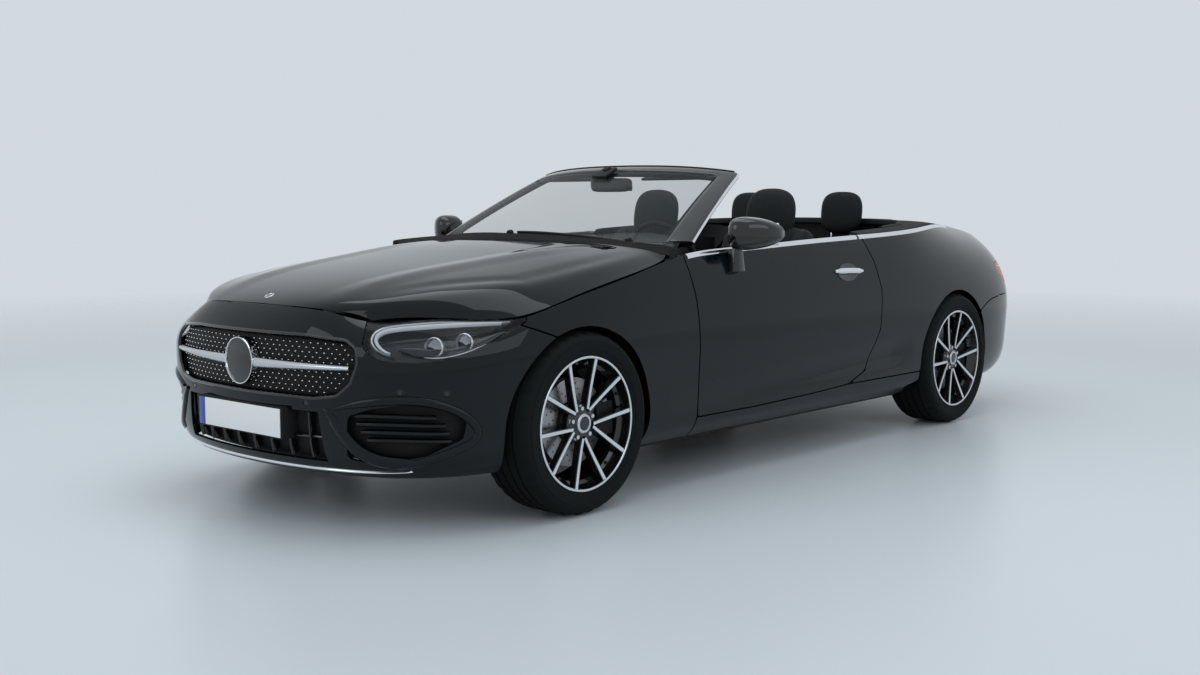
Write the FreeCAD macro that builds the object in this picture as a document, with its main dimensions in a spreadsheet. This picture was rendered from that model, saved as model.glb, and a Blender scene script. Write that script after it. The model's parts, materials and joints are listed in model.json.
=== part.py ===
"""Two-door convertible car with its roof stowed. Millimetres, +X forward, +Y to the car's left, +Z up.

The origin is on the ground under the middle of the car's length. The painted skin is three smooth
surfaces: a wrap that runs all round the car from the sills up to its top edge, a bonnet skin and a
deck skin. Each panel is cut from one of them along its shut lines.
"""
import FreeCAD
import Part
import math
import os
import re

V = FreeCAD.Vector
doc = FreeCAD.newDocument("convertible_car")

# Driving dimensions, one named cell each
sheet = doc.addObject("Spreadsheet::Sheet", "Sizes")
SIZES = [
    ("wheelbase", 2865), ("front_axle_x", 1552), ("axle_height", 339), ("tyre_radius", 339),
    ("tyre_width", 245), ("tyre_chamfer", 42), ("front_wheel_y", 800), ("rear_wheel_y", 806),
    ("rim_radius", 250), ("rim_wall", 12), ("rim_width", 226), ("hub_radius", 62),
    ("hub_face", 45), ("spoke_face", 102), ("spoke_depth", 28), ("spoke_width", 18),
    ("spoke_foot", 50), ("spoke_length", 197), ("spoke_lean", 23), ("spoke_start", 185),
    ("disc_radius", 165), ("disc_face", 8), ("disc_thickness", 28),
    ("bell_radius", 82), ("spindle_radius", 22), ("running_play", 0.1), ("seat_play", 0.3),
    ("kingpin_y", 770), ("kingpin_radius", 11), ("kingpin_depth", 45), ("carrier_half", 30),
    ("carrier_height", 260), ("arm_half_width", 28), ("arm_thickness", 24), ("move_gap", 6),
    ("arch_radius", 375), ("arch_z", 322), ("liner_radius", 392), ("liner_wall", 4),
    ("liner_inner_y", 470), ("panel_wall", 60), ("sill_inner_y", 740), ("lid_wall", 20),
    ("shut_gap", 6), ("lid_gap", 9), ("door_wall", 96), ("hinge_x", 772), ("hinge_y", 890),
    ("hinge_radius", 6),
    ("hinge_eye", 9), ("hinge_height", 40), ("hinge_low_z", 420), ("hinge_high_z", 600),
    ("post_outer_y", 730), ("floor_z", 178), ("floor_wall", 26), ("firewall_x", 1060),
    ("step_x", -800), ("pan_z", 400), ("tub_half_width", 455), ("bulkhead_x", -1240),
    ("rail_y", 400), ("rail_width", 60), ("rail_height", 110), ("rail_z", 400),
    ("engine_length", 560), ("engine_width", 420), ("engine_height", 520), ("glass_wall", 6),
    ("frame_wall", 34), ("cowl_wall", 40), ("seat_width", 500), ("console_width", 220), ("console_gap", 5),
    ("seat_y", "=console_width / 2 + console_gap + seat_width / 2"),
    ("headrest_width", 290), ("steering_radius", 185),
    ("steering_rim", 14), ("plate_width", 520), ("plate_height", 112), ("plate_wall", 8),
    ("plate_z", 375), ("plate_x", 2428), ("lid_split_x", -1480), ("panel_rim", 1),
    ("wing_tip_x", -450), ("tail_split_y", 500),
    ("firewall_height", 737), ("post_height", 640), ("bulkhead_height", 640), ("boot_end_x", -2420),
    ("boot_wall", 15), ("boot_wall_height", 520), ("sill_box", 40), ("sill_overhang", 60),
    ("sill_box_height", 92), ("sill_tail", 100), ("sill_nose", 90), ("post_width", 40),
    ("hinge_arm", 16), ("cross_height", 61), ("arm_rim", 7),
    ("disc_gap", 7), ("caliper_far", 195), ("caliper_near", 105), ("caliper_half", 62),
    ("caliper_face", 62), ("axle_tube_radius", 34), ("rear_rail_half", 260),
    ("seat_foot_inset", 60), ("shoulder_z", 1000), ("rear_rest_y", 300), ("rear_rest_width", 250),
    ("mirror_x", 450), ("mirror_y", 850), ("mirror_z", 934), ("mirror_depth", 230),
    ("mirror_width", 180), ("mirror_height", 158), ("mirror_round", 60),
    ("handle_x", -250), ("handle_length", 230), ("handle_face", 932), ("handle_depth", 40),
    ("handle_z", 818), ("handle_height", 24), ("rear_view_x", 360), ("rear_view_z", 1195),
    ("rear_view_depth", 30), ("rear_view_width", 250), ("rear_view_height", 68),
    ("rear_plate_z", 700), ("trim_y", 600), ("sill_top_z", 215), ("pillar_foot_z", 960),
    ("sill_depth", 190), ("grille_recess", 14), ("glass_inset", 3),
]
for row, (alias, value) in enumerate(SIZES, 1):
    sheet.set("A%d" % row, alias)
    sheet.set("B%d" % row, str(value))
    sheet.setAlias("B%d" % row, alias)
doc.recompute()

PIECES = []


def size(alias):
    """The value of a sheet cell in millimetres."""
    return float(getattr(sheet, alias))


# Document objects whose sizes follow the sheet

def bind(item, prop, text):
    """Bind a property to an expression written with the sheet's own names."""
    item.setExpression(prop, re.sub(r"\b([a-z][a-z_]+)\b", r"Sizes.\1", text))


def place(item, corner):
    for axis, text in zip("xyz", corner):
        bind(item, "Placement.Base." + axis, text)


def block(name, corner, extent):
    """A box from its low corner and its extents, all as expressions."""
    item = doc.addObject("Part::Box", name)
    for prop, text in zip(("Length", "Width", "Height"), extent):
        bind(item, prop, text)
    place(item, corner)
    return item


def drum(name, radius, height, base, along="z"):
    """A cylinder from its base point along an axis."""
    item = doc.addObject("Part::Cylinder", name)
    if along == "y":
        item.Placement = FreeCAD.Placement(V(), FreeCAD.Rotation(V(1, 0, 0), -90))
    bind(item, "Radius", radius)
    bind(item, "Height", height)
    place(item, base)
    return item


def fused(name, items):
    item = doc.addObject("Part::MultiFuse", name)
    item.Shapes = items
    item.Refine = True
    return item


def cut(name, base, tool):
    item = doc.addObject("Part::Cut", name)
    item.Base = base
    item.Tool = tool
    return item


def reflected(name, source):
    """The same piece on the other side of the car."""
    item = doc.addObject("Part::Mirroring", name)
    item.Source = source
    item.Normal = (0, 1, 0)
    return item


def formed(name, shape):
    """A piece whose curved shape is made by the functions below."""
    item = doc.addObject("Part::Feature", name)
    item.Shape = shape
    return item


def profiled(name, points, middle, width):
    """A side profile of (x, z) points, made as deep as asked about a middle y."""
    body = doc.addObject("PartDesign::Body", name)
    sketch = body.newObject("Sketcher::SketchObject", name + "_profile")
    plane = [f for f in body.Origin.OriginFeatures if f.Role == "XZ_Plane"][0]
    sketch.AttachmentSupport = (plane, "")
    sketch.MapMode = "FlatFace"
    for start, end in zip(points, points[1:] + points[:1]):
        sketch.addGeometry(Part.LineSegment(V(start[0], start[1], 0), V(end[0], end[1], 0)), False)
    pad = body.newObject("PartDesign::Pad", name + "_pad")
    pad.Profile = sketch
    pad.Midplane = True
    bind(pad, "Length", width)
    bind(body, "Placement.Base.y", middle)
    body.Tip = pad
    return body


def piece(label, item):
    item.Label = label
    PIECES.append(item)
    return item


def pair(label, left):
    """A left piece and its mirror image on the right."""
    piece(label + "_left", left)
    return piece(label + "_right", reflected(label + "_right", left))


# Plain shape helpers for the curved panels

def box(x0, x1, y0, y1, z0, z1):
    return Part.makeBox(x1 - x0, y1 - y0, z1 - z0, V(x0, y0, z0))


def arch(wheel_x, radius, z, y0, y1):
    return Part.makeCylinder(radius, y1 - y0, V(wheel_x, y0, z), V(0, 1, 0))


def mirrored(shape):
    return shape.mirror(V(0, 0, 0), V(0, 1, 0))


def inside(shape, wall_shape):
    """The main part of a shape that stops at a wall."""
    return biggest(shape.cut(wall_shape))


def prism(points, direction):
    vectors = [V(*p) for p in points]
    return Part.Face(Part.makePolygon(vectors + [vectors[0]])).extrude(V(*direction))


def inset(points, gap):
    """A closed outline moved inwards by a gap on every side."""
    area = sum(a[0] * b[1] - b[0] * a[1] for a, b in zip(points, points[1:] + points[:1]))
    turn = 1 if area > 0 else -1
    moved = []
    for i, (x, y) in enumerate(points):
        ax, ay = points[i - 1]
        bx, by = points[(i + 1) % len(points)]
        d1 = (x - ax, y - ay)
        d2 = (bx - x, by - y)
        l1, l2 = math.hypot(*d1), math.hypot(*d2)
        n1 = (-d1[1] / l1 * turn, d1[0] / l1 * turn)
        n2 = (-d2[1] / l2 * turn, d2[0] / l2 * turn)
        scale = gap / (1 + n1[0] * n2[0] + n1[1] * n2[1])
        moved.append((x + (n1[0] + n2[0]) * scale, y + (n1[1] + n2[1]) * scale))
    return moved


def side_prism(points):
    """An outline of (x, z) points through the car's left side."""
    return prism([(x, 300, z) for x, z in points], (0, 900, 0))


def front_prism(points, x0, x1):
    """An outline of (y, z) points through the nose or the tail."""
    return prism([(x0, y, z) for y, z in points], (x1 - x0, 0, 0))


def corner_prism(points, end):
    """An outline of (s, z) points seen at 45 degrees on a left corner; s grows away from the centre."""
    reach = 400 * end
    root = math.sqrt(0.5)
    corners = [(end * (CORNER_X - s * root), s * root, z) for s, z in points]
    return prism([(x + reach, y + 400, z) for x, y, z in corners], (-2 * reach, -800, 0))


def top_prism(points, z0, z1):
    return prism([(x, y, z0) for x, y in points], (0, 0, z1 - z0))


def both_sides(shape):
    return Part.makeCompound([shape, mirrored(shape)])


def biggest(shape):
    return max(shape.Solids, key=lambda solid: solid.Volume)


def several(solids):
    return Part.makeCompound(solids)


# Stations round the car: plan point of the waist, then the point of the top edge
STATIONS = [
    ((2417, 0), (2342, 0, 779)), ((2406, 210), (2336, 190, 777)), ((2368, 430), (2302, 380, 765)),
    ((2298, 620), (2226, 520, 734)), ((2188, 760), (2130, 640, 741)), ((2046, 846), (1992, 756, 742)),
    ((1880, 890), (1850, 846, 739)), ((1700, 909), (1700, 868, 769)), ((1500, 918), (1500, 872, 816)),
    ((1200, 916), (1200, 866, 878)), ((880, 912), (890, 850, 939)), ((500, 914), (500, 846, 961)),
    ((0, 918), (0, 850, 981)), ((-500, 924), (-500, 852, 997)), ((-950, 931), (-950, 838, 1016)),
    ((-1350, 931), (-1350, 740, 1034)), ((-1700, 912), (-1690, 640, 1022)),
    ((-1980, 868), (-1960, 590, 996)), ((-2190, 790), (-2150, 560, 972)),
    ((-2330, 650), (-2280, 500, 956)), ((-2400, 430), (-2340, 360, 950)),
    ((-2422, 210), (-2362, 180, 948)), ((-2428, 0), (-2368, 0, 947)),
]
WAIST_Z = 585
# Height of each row under the waist, then how far it is drawn in at the sides, nose and tail
LOW_ROWS = [(200, 78, 62, 215), (232, 38, 24, 130), (310, 10, 8, 45), (430, 17, 4, 12)]
# Share of the way up from the waist to the top edge, then share of the way in
HIGH_ROWS = [(0.42, 0.10), (0.80, 0.50), (1.0, 1.0)]

# Bonnet columns from its side edge to the centre line, each from the nose to the windscreen
BONNET = [
    [(2226, 520, 734), (2060, 708, 742), (1850, 846, 739), (1600, 871, 793), (1350, 869, 849),
     (1120, 861, 896), (1000, 842, 938)],
    [(2234, 498, 744), (2080, 676, 772), (1864, 806, 779), (1600, 830, 822), (1350, 829, 868),
     (1120, 823, 909), (1000, 806, 944)],
    [(2246, 462, 754), (2106, 622, 800), (1876, 752, 830), (1600, 778, 862), (1350, 782, 899),
     (1120, 778, 931), (1000, 766, 953)],
    [(2262, 430, 760), (2124, 566, 818), (1884, 690, 853), (1600, 718, 884), (1350, 724, 916),
     (1120, 722, 944), (1004, 712, 962)],
    [(2298, 335, 770), (2142, 405, 836), (1896, 470, 884), (1600, 505, 921), (1350, 520, 950),
     (1120, 530, 971), (1030, 532, 979)],
    [(2333, 180, 777), (2152, 200, 842), (1900, 235, 891), (1600, 262, 930), (1350, 275, 961),
     (1140, 282, 982), (1062, 284, 989)],
    [(2342, 0, 779), (2156, 0, 844), (1900, 0, 893), (1600, 0, 934), (1350, 0, 965),
     (1150, 0, 986), (1074, 0, 993)],
]
# Deck columns in the same order, each from beside the cabin to the tail
DECK = [
    [(-400, 851, 994), (-950, 838, 1016), (-1350, 740, 1034), (-1690, 640, 1022), (-1960, 590, 996),
     (-2150, 560, 972), (-2280, 500, 956)],
    [(-400, 800, 1012), (-950, 780, 1036), (-1350, 680, 1048), (-1690, 590, 1034), (-1960, 545, 1006),
     (-2156, 515, 979), (-2296, 455, 956)],
    [(-400, 560, 1016), (-950, 560, 1044), (-1350, 500, 1056), (-1690, 430, 1042), (-1970, 400, 1013),
     (-2170, 380, 984), (-2336, 350, 951)],
    [(-400, 280, 1018), (-950, 280, 1048), (-1350, 250, 1060), (-1690, 215, 1046), (-1980, 200, 1016),
     (-2180, 190, 986), (-2361, 175, 948)],
    [(-400, 0, 1018), (-950, 0, 1048), (-1350, 0, 1061), (-1690, 0, 1047), (-1980, 0, 1017),
     (-2184, 0, 987), (-2368, 0, 947)],
]
# Windscreen glass edge points on the left: foot, then header
SCREEN_FOOT = [(992, 0, 990), (978, 270, 982), (925, 540, 966), (835, 745, 950)]
SCREEN_HEAD = [(350, 0, 1308), (338, 220, 1305), (300, 430, 1294), (238, 582, 1275)]
SCREEN_BULGE = 16
FRAME_MARGIN = [0.075, 0.07]


def wrap_rows():
    """Rows of points round the whole car from the sill up, each from the nose round by the left."""
    half = len(STATIONS) - 1
    order = list(range(half + 1)) + list(range(half - 1, 0, -1))
    side = [1] * (half + 1) + [-1] * (half - 1)
    plan = [(STATIONS[i][0][0], s * STATIONS[i][0][1]) for i, s in zip(order, side)]
    top = [(STATIONS[i][1][0], s * STATIONS[i][1][1], STATIONS[i][1][2]) for i, s in zip(order, side)]
    inward = []
    for i in range(len(plan)):
        ax, ay = plan[i - 1]
        bx, by = plan[(i + 1) % len(plan)]
        length = math.hypot(bx - ax, by - ay)
        inward.append((-(by - ay) / length, (bx - ax) / length))
    rows = []
    for z, side_in, nose_in, tail_in in LOW_ROWS:
        row = []
        for (x, y), (nx, ny) in zip(plan, inward):
            end_in = nose_in if x > 0 else tail_in
            drawn = end_in * nx * nx + side_in * ny * ny
            row.append(V(x + nx * drawn, y + ny * drawn, z))
        rows.append(row)
    rows.append([V(x, y, WAIST_Z) for x, y in plan])
    for rise, lean in HIGH_ROWS:
        row = []
        for (x, y), (tx, ty, tz) in zip(plan, top):
            row.append(V(x + lean * (tx - x), y + lean * (ty - y), WAIST_Z + rise * (tz - WAIST_Z)))
        rows.append(row)
    return rows


def across(columns):
    """A net from columns on the left side, with the right side added."""
    left = [[V(*p) for p in column] for column in columns]
    right = [[V(p.x, -p.y, p.z) for p in column] for column in left[-2::-1]]
    return left + right


def drawn_in(rows, gap):
    """A net whose outer border is moved inwards by a gap."""
    def nearer(edge, inner):
        return edge + (inner - edge).normalize() * gap

    rows = [list(row) for row in rows]
    for edge, inner in ((0, 1), (-1, -2)):
        rows[edge] = [nearer(a, b) for a, b in zip(rows[edge], rows[inner])]
    for row in rows:
        row[0] = nearer(row[0], row[1])
        row[-1] = nearer(row[-1], row[-2])
    return rows


def moved_inwards(rows, depth, closed):
    """Each point of a net moved by a depth against the surface's outward normal."""
    count = len(rows[0])
    result = []
    for j, row in enumerate(rows):
        below = rows[max(j - 1, 0)]
        above = rows[min(j + 1, len(rows) - 1)]
        new = []
        for i in range(count):
            before = row[i - 1] if closed or i > 0 else row[0]
            after = row[(i + 1) % count] if closed or i < count - 1 else row[-1]
            normal = (after - before).cross(above[i] - below[i])
            new.append(row[i] - normal.normalize() * depth)
        result.append(new)
    return result


def skin(rows, closed):
    """A surface whose rows are smooth curves through their points, blended from row to row."""
    poles = []
    for row in rows:
        curve = Part.BSplineCurve()
        if closed:
            curve.interpolate(row, PeriodicFlag=True, Parameters=[float(i) for i in range(len(row) + 1)])
        else:
            curve.interpolate(row, Parameters=[float(i) for i in range(len(row))])
        poles.append(curve.getPoles())
    net = [[line[i] for line in poles] for i in range(len(poles[0]))]
    spans = len(rows) - 3
    knots = [float(k) for k in range(spans + 1)]
    mults = [4] + [1] * (spans - 1) + [4]
    surface = Part.BSplineSurface()
    surface.buildFromPolesMultsKnots(net, curve.getMultiplicities(), mults, curve.getKnots(), knots,
                                     closed, False, 3, 3)
    return surface


def slab(rows, depth, closed=True, reach=None):
    """A solid as deep as asked under a skin, or under the stretch of it between two stations."""
    outer = skin(rows, closed)
    inner = skin(moved_inwards(rows, depth, closed), closed)
    if reach:
        for surface in (outer, inner):
            bounds = surface.bounds()
            surface.segment(reach[0], reach[1], bounds[2], bounds[3])
    u0, u1, v0, v1 = outer.bounds()
    faces = [outer.toShape(), inner.toShape()]
    for edge in (lambda s: s.vIso(v0), lambda s: s.vIso(v1), lambda s: s.uIso(u0), lambda s: s.uIso(u1)):
        faces.append(Part.makeRuledSurface(edge(outer).toShape(), edge(inner).toShape()))
    shell = Part.makeShell(faces)
    shell.sewShape()
    solid = Part.makeSolid(shell)
    if solid.Volume < 0:
        solid.reverse()
    return solid


def screen_rows(margin_across, margin_up):
    """The windscreen's surface, widened past the glass edge by shares of its width and height."""
    foot = [V(*p) for p in SCREEN_FOOT]
    head = [V(*p) for p in SCREEN_HEAD]
    foot[-1] = foot[-1] + (foot[-1] - foot[-2]) * margin_across * 3
    head[-1] = head[-1] + (head[-1] - head[-2]) * margin_across * 3
    rows = []
    for step in (0, 0.33, 0.67, 1.0):
        share = -margin_up + step * (1 + 2 * margin_up)
        bulge = V(0.45, 0, 0.9) * SCREEN_BULGE * 4 * share * (1 - share)
        half = [a + (b - a) * share + bulge for a, b in zip(foot, head)]
        rows.append(half[::-1] + [V(p.x, -p.y, p.z) for p in half[1:]])
    return rows


# Where the 45 degree line through a corner outline meets the car's middle plane
CORNER_X = 2700

# Shut lines as (x, z) outlines on the left side
GAP = size("shut_gap") / 2
FRONT_X = size("front_axle_x")
REAR_X = FRONT_X - size("wheelbase")
FENDER_DOOR = [(915, 1050), (913, 911), (887, 759), (871, 558), (867, 315), (864, 280)]
DOOR_FOOT = [(461, 280), (-9, 292), (-266, 304), (-417, 356)]
DOOR_REAR = [(-529, 543), (-540, 734), (-497, 869), (-400, 1050)]
DOOR = FENDER_DOOR + DOOR_FOOT + DOOR_REAR
FENDER = [(1862, 900), (1856, 735), (1838, 716), (1700, 668), (1552, 560), (1180, 180),
          (866, 180)] + FENDER_DOOR[::-1]
SILL = [(866, 150), (864, 280)] + DOOR_FOOT[:3] + [(-1040, 304), (-1040, 150)]
QUARTER = DOOR_REAR[::-1] + DOOR_FOOT[:1:-1] + [(-1040, 304), (-1552, 560), (-1690, 612),
                                               (-1760, 628), (-1930, 640), (-2500, 648), (-2500, 1200)]
LAMP = [(700, 842), (676, 657), (709, 622), (752, 612), (841, 603), (949, 612), (1046, 640),
        (1149, 682), (1237, 728), (1250, 842)]
TAIL_LAMP = [(655, 700), (700, 694), (1010, 700), (1075, 760), (1060, 812), (690, 836), (650, 812)]
GRILLE = [(560, 600), (548, 650), (500, 678), (330, 690), (-330, 690), (-500, 678), (-548, 650),
          (-560, 600), (-535, 530), (-480, 484), (-380, 470), (380, 470), (480, 484), (535, 530)]
LOWER_INTAKE = [(420, 250), (400, 425), (-400, 425), (-420, 250)]
SIDE_INTAKE = [(500, 262), (520, 420), (700, 462), (800, 440), (800, 330), (640, 262)]
LID_TAIL = [(500, 1000), (540, 700), (470, 660), (-470, 660), (-540, 700), (-500, 1000)]
CABIN = [(-300, 790), (-760, 775), (-1020, 735), (-1180, 640), (-1235, 480), (-1235, -480),
         (-1180, -640), (-1020, -735), (-760, -775), (-300, -790)]

ROWS = wrap_rows()
COUNT = len(ROWS[0])
NOSE = (COUNT - 8.9, COUNT + 8.9)
LEFT = (5.2, 21.8)
TAIL = (15.2, COUNT - 15.2)
ARCHES = arch(FRONT_X, size("arch_radius"), size("arch_z"), 300, 1100)
ARCHES = ARCHES.fuse(arch(REAR_X, size("arch_radius"), size("arch_z"), 300, 1100))

# Painted panels
wall = size("panel_wall")
side_slab = slab(ROWS, wall, True, LEFT)
quarter_slab = slab(ROWS, size("door_wall"), True, LEFT)
nose_slab = slab(ROWS, wall, True, NOSE)
tail_slab = slab(ROWS, wall, True, TAIL)
lamp_hole = corner_prism(LAMP, 1)
tail_lamp_hole = corner_prism(TAIL_LAMP, -1)
lid_hole = front_prism(LID_TAIL, -2600, -2000)

lid_space = size("lid_wall") + size("move_gap")
bonnet_space = slab(drawn_in(across(BONNET), size("panel_rim")), lid_space, False)
deck_space = slab(drawn_in(across(DECK), size("panel_rim")), lid_space, False)
fender = biggest(side_slab.common(side_prism(inset(FENDER, GAP))).cut(ARCHES).cut(lamp_hole))
fender = inside(fender, bonnet_space)
pair("front_fender", formed("fender", fender))
quarter = quarter_slab.common(side_prism(inset(QUARTER, GAP))).cut(ARCHES).cut(tail_lamp_hole)
quarter = inside(inside(quarter, box(-2600, -2000, 0, size("tail_split_y"), 0, 1200)), deck_space)
quarter = inside(quarter, lid_hole)
pair("rear_quarter", formed("quarter", quarter))
inner = box(-1100, 1300, size("sill_inner_y"), 1000, 150, 330)
sill = slab(ROWS, size("sill_depth"), True, (8.0, 16.0)).common(side_prism(inset(SILL, GAP)))
pair("side_sill", formed("sill", biggest(sill.cut(ARCHES).common(inner))))

fenders = both_sides(side_prism(inset(FENDER, -GAP)))
nose = nose_slab.cut(fenders).cut(both_sides(ARCHES)).cut(both_sides(lamp_hole))
holes = [front_prism(GRILLE, 2000, 2600), front_prism(LOWER_INTAKE, 2000, 2600)]
for hole in holes + [both_sides(front_prism(SIDE_INTAKE, 1950, 2600))]:
    nose = nose.cut(hole)
bumper = inside(nose.common(box(1700, 2600, -1000, 1000, 150, 900)), bonnet_space)
piece("front_bumper", formed("front_bumper", bumper))

quarters = both_sides(side_prism(inset(QUARTER, -GAP)))
tail = tail_slab.cut(both_sides(ARCHES)).common(box(-2600, -1600, -1000, 1000, 150, 1200))
middle = box(-2600, -2000, -size("tail_split_y"), size("tail_split_y"), 0, 1200)
tail = tail.cut(quarters.cut(middle)).cut(both_sides(tail_lamp_hole)).cut(lid_hole)
rear_bumper = biggest(tail)
piece("rear_bumper", formed("rear_bumper", rear_bumper))

# Bonnet, deck lid, roof cover
hood = slab(drawn_in(across(BONNET), size("lid_gap")), size("lid_wall"), False)
piece("hood", formed("hood", hood))
deck = slab(drawn_in(across(DECK), size("lid_gap")), size("lid_wall"), False)
split = size("lid_split_x")
lid_top = deck.common(box(-2600, split - GAP, -1000, 1000, 800, 1200))
lid_tail = slab(ROWS, size("lid_wall"), True, TAIL)
lid_tail = lid_tail.common(front_prism(inset(LID_TAIL, size("lid_gap")), -2600, -2000))
lid = biggest(lid_top.fuse(lid_tail))
piece("trunk_lid", formed("trunk_lid", lid))
cover = deck.common(box(split + GAP, size("wing_tip_x"), -1000, 1000, 800, 1200))
cover = cover.cut(top_prism(CABIN, 900, 1200))
piece("roof_cover", formed("roof_cover", biggest(cover)))

# Doors with their hinge pockets and pins
door = slab(ROWS, size("door_wall"), True, (8.0, 16.0)).common(side_prism(inset(DOOR, GAP)))
hinge_x, hinge_y = size("hinge_x"), size("hinge_y")
for z in (size("hinge_low_z"), size("hinge_high_z")):
    low, high = z - size("move_gap"), z + size("hinge_height") + size("move_gap")
    pocket_y = hinge_y + size("hinge_eye") + size("move_gap")
    pocket = box(hinge_x - 22, 1000, 600, pocket_y, low, high)
    pin = Part.makeCylinder(size("hinge_radius"), high - low, V(hinge_x, hinge_y, low))
    door = door.cut(pocket).fuse(pin)
door = biggest(door)
pair("door", formed("door", door))

# Lamps, grille and lower inserts set into the bumpers
lamp = inside(nose_slab.common(corner_prism(inset(LAMP, 1), 1)), bonnet_space)
piece("headlamps", formed("headlamps", several([lamp, mirrored(lamp)])))
rear_lamp = biggest(tail_slab.common(corner_prism(inset(TAIL_LAMP, 1), -1)))
piece("tail_lamps", formed("tail_lamps", several([rear_lamp, mirrored(rear_lamp)])))
back = slab(moved_inwards(ROWS, size("grille_recess"), True), wall - size("grille_recess"), True, NOSE)
grille = biggest(back.common(front_prism(GRILLE, 2000, 2600)).cut(both_sides(lamp_hole)))
piece("front_grille", formed("front_grille", grille))
plate_back = size("plate_x") - size("plate_wall")
plate_space = box(plate_back, 2600, -600, 600, 200, 600)
intake = biggest(back.common(front_prism(LOWER_INTAKE, 2000, 2600)).cut(plate_space))
side_intake = biggest(back.common(front_prism(SIDE_INTAKE, 1950, 2600)))
piece("lower_grilles", formed("lower_grilles", several([intake, side_intake, mirrored(side_intake)])))


# Windscreen, its frame and the cowl at its foot
outer_rows = screen_rows(FRAME_MARGIN[0], FRAME_MARGIN[1])
glass_rows = screen_rows(0, 0)
glass = slab(moved_inwards(glass_rows, size("glass_inset"), False), size("glass_wall"), False)
opening = slab(moved_inwards(glass_rows, -40, False), 120, False)
screen_slab = slab(outer_rows, size("frame_wall"), False)
door_top = both_sides(box(600, 1200, size("post_outer_y"), 1000, 600, size("pillar_foot_z")))
piece("windscreen", formed("windscreen", glass))

cowl_front = [V(*BONNET[i][-1]) + V(-size("shut_gap"), 0, -14) for i in (0, 3, 5, 6)]
cowl_front = cowl_front + [V(p.x, -p.y, p.z) for p in cowl_front[-2::-1]]
cowl_rows = []
for share in (0, 0.33, 0.67, 1.0):
    cowl_rows.append([a + (b + V(0, 0, -8) - a) * share for a, b in zip(cowl_front, outer_rows[0])])
cowl = slab(cowl_rows, size("cowl_wall"), False)
cowl = inside(cowl, both_sides(box(600, 921, size("post_outer_y"), 1000, 600, 1200)))
cowl = inside(cowl, both_sides(fender))
piece("cowl", formed("cowl", cowl))
frame = inside(inside(screen_slab.cut(opening), door_top), cowl)
piece("windscreen_frame", formed("windscreen_frame", frame))

# Floor tub with firewall, seat step, rear pan, bulkhead, boot floor, sills, posts and hinge eyes
tub = [
    block("floor_plate", ("step_x", "-post_outer_y", "floor_z"),
          ("firewall_x - step_x", "2 * post_outer_y", "floor_wall")),
    block("firewall", ("firewall_x - floor_wall", "-post_outer_y", "floor_z"),
          ("floor_wall", "2 * post_outer_y", "firewall_height")),
    block("seat_step", ("step_x - floor_wall", "-post_outer_y", "floor_z"),
          ("floor_wall", "2 * post_outer_y", "pan_z + floor_wall - floor_z")),
    block("seat_pan", ("bulkhead_x", "-tub_half_width", "pan_z"),
          ("step_x - bulkhead_x", "2 * tub_half_width", "floor_wall")),
    block("rear_bulkhead", ("bulkhead_x - floor_wall", "-tub_half_width", "pan_z"),
          ("floor_wall", "2 * tub_half_width", "bulkhead_height")),
    block("boot_floor", ("boot_end_x", "-tub_half_width", "pan_z"),
          ("bulkhead_x - boot_end_x", "2 * tub_half_width", "floor_wall")),
]
SIDES = (("left", 1), ("right", -1))
LEVELS = ("hinge_low_z", "hinge_high_z")
for word, sign in SIDES:
    far = "post_outer_y - sill_box" if sign > 0 else "-post_outer_y - sill_overhang"
    tub.append(block("sill_box_" + word, ("step_x - sill_tail", far, "floor_z"),
                     ("firewall_x - step_x + sill_tail + sill_nose", "sill_box + sill_overhang",
                      "sill_box_height")))
    far = "post_outer_y - post_width" if sign > 0 else "-post_outer_y"
    tub.append(block("door_post_" + word, ("hinge_x - post_width / 2", far, "floor_z"),
                     ("firewall_x - hinge_x + post_width / 2 - floor_wall / 2", "post_width",
                      "post_height")))
    far = "tub_half_width - boot_wall" if sign > 0 else "-tub_half_width"
    tub.append(block("boot_wall_" + word, ("boot_end_x", far, "pan_z"),
                     ("bulkhead_x - boot_end_x", "boot_wall", "boot_wall_height")))
    far = "post_outer_y - boot_wall" if sign > 0 else "-hinge_y"
    eye = "hinge_y" if sign > 0 else "-hinge_y"
    for level in LEVELS:
        tub.append(block("hinge_arm_%s_%s" % (level, word), ("hinge_x - hinge_arm / 2", far, level),
                         ("hinge_arm", "hinge_y - post_outer_y + boot_wall", "hinge_height")))
        tub.append(drum("hinge_eye_%s_%s" % (level, word), "hinge_eye", "hinge_height",
                        ("hinge_x", eye, level)))
holes = []
for word, sign in SIDES:
    eye = "hinge_y" if sign > 0 else "-hinge_y"
    for level in LEVELS:
        holes.append(drum("hinge_hole_%s_%s" % (level, word), "hinge_radius + running_play",
                          "hinge_height + 2", ("hinge_x", eye, level + " - 1")))
open_tub = cut("open_tub", fused("solid_tub", tub), fused("hinge_holes", holes))
doc.recompute()
tub_shape = open_tub.Shape
for skin_shape in (sill, mirrored(sill), tail_slab, cowl, deck_space, screen_slab):
    tub_shape = inside(tub_shape, skin_shape)
piece("floor_tub", formed("floor_tub", tub_shape))

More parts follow.
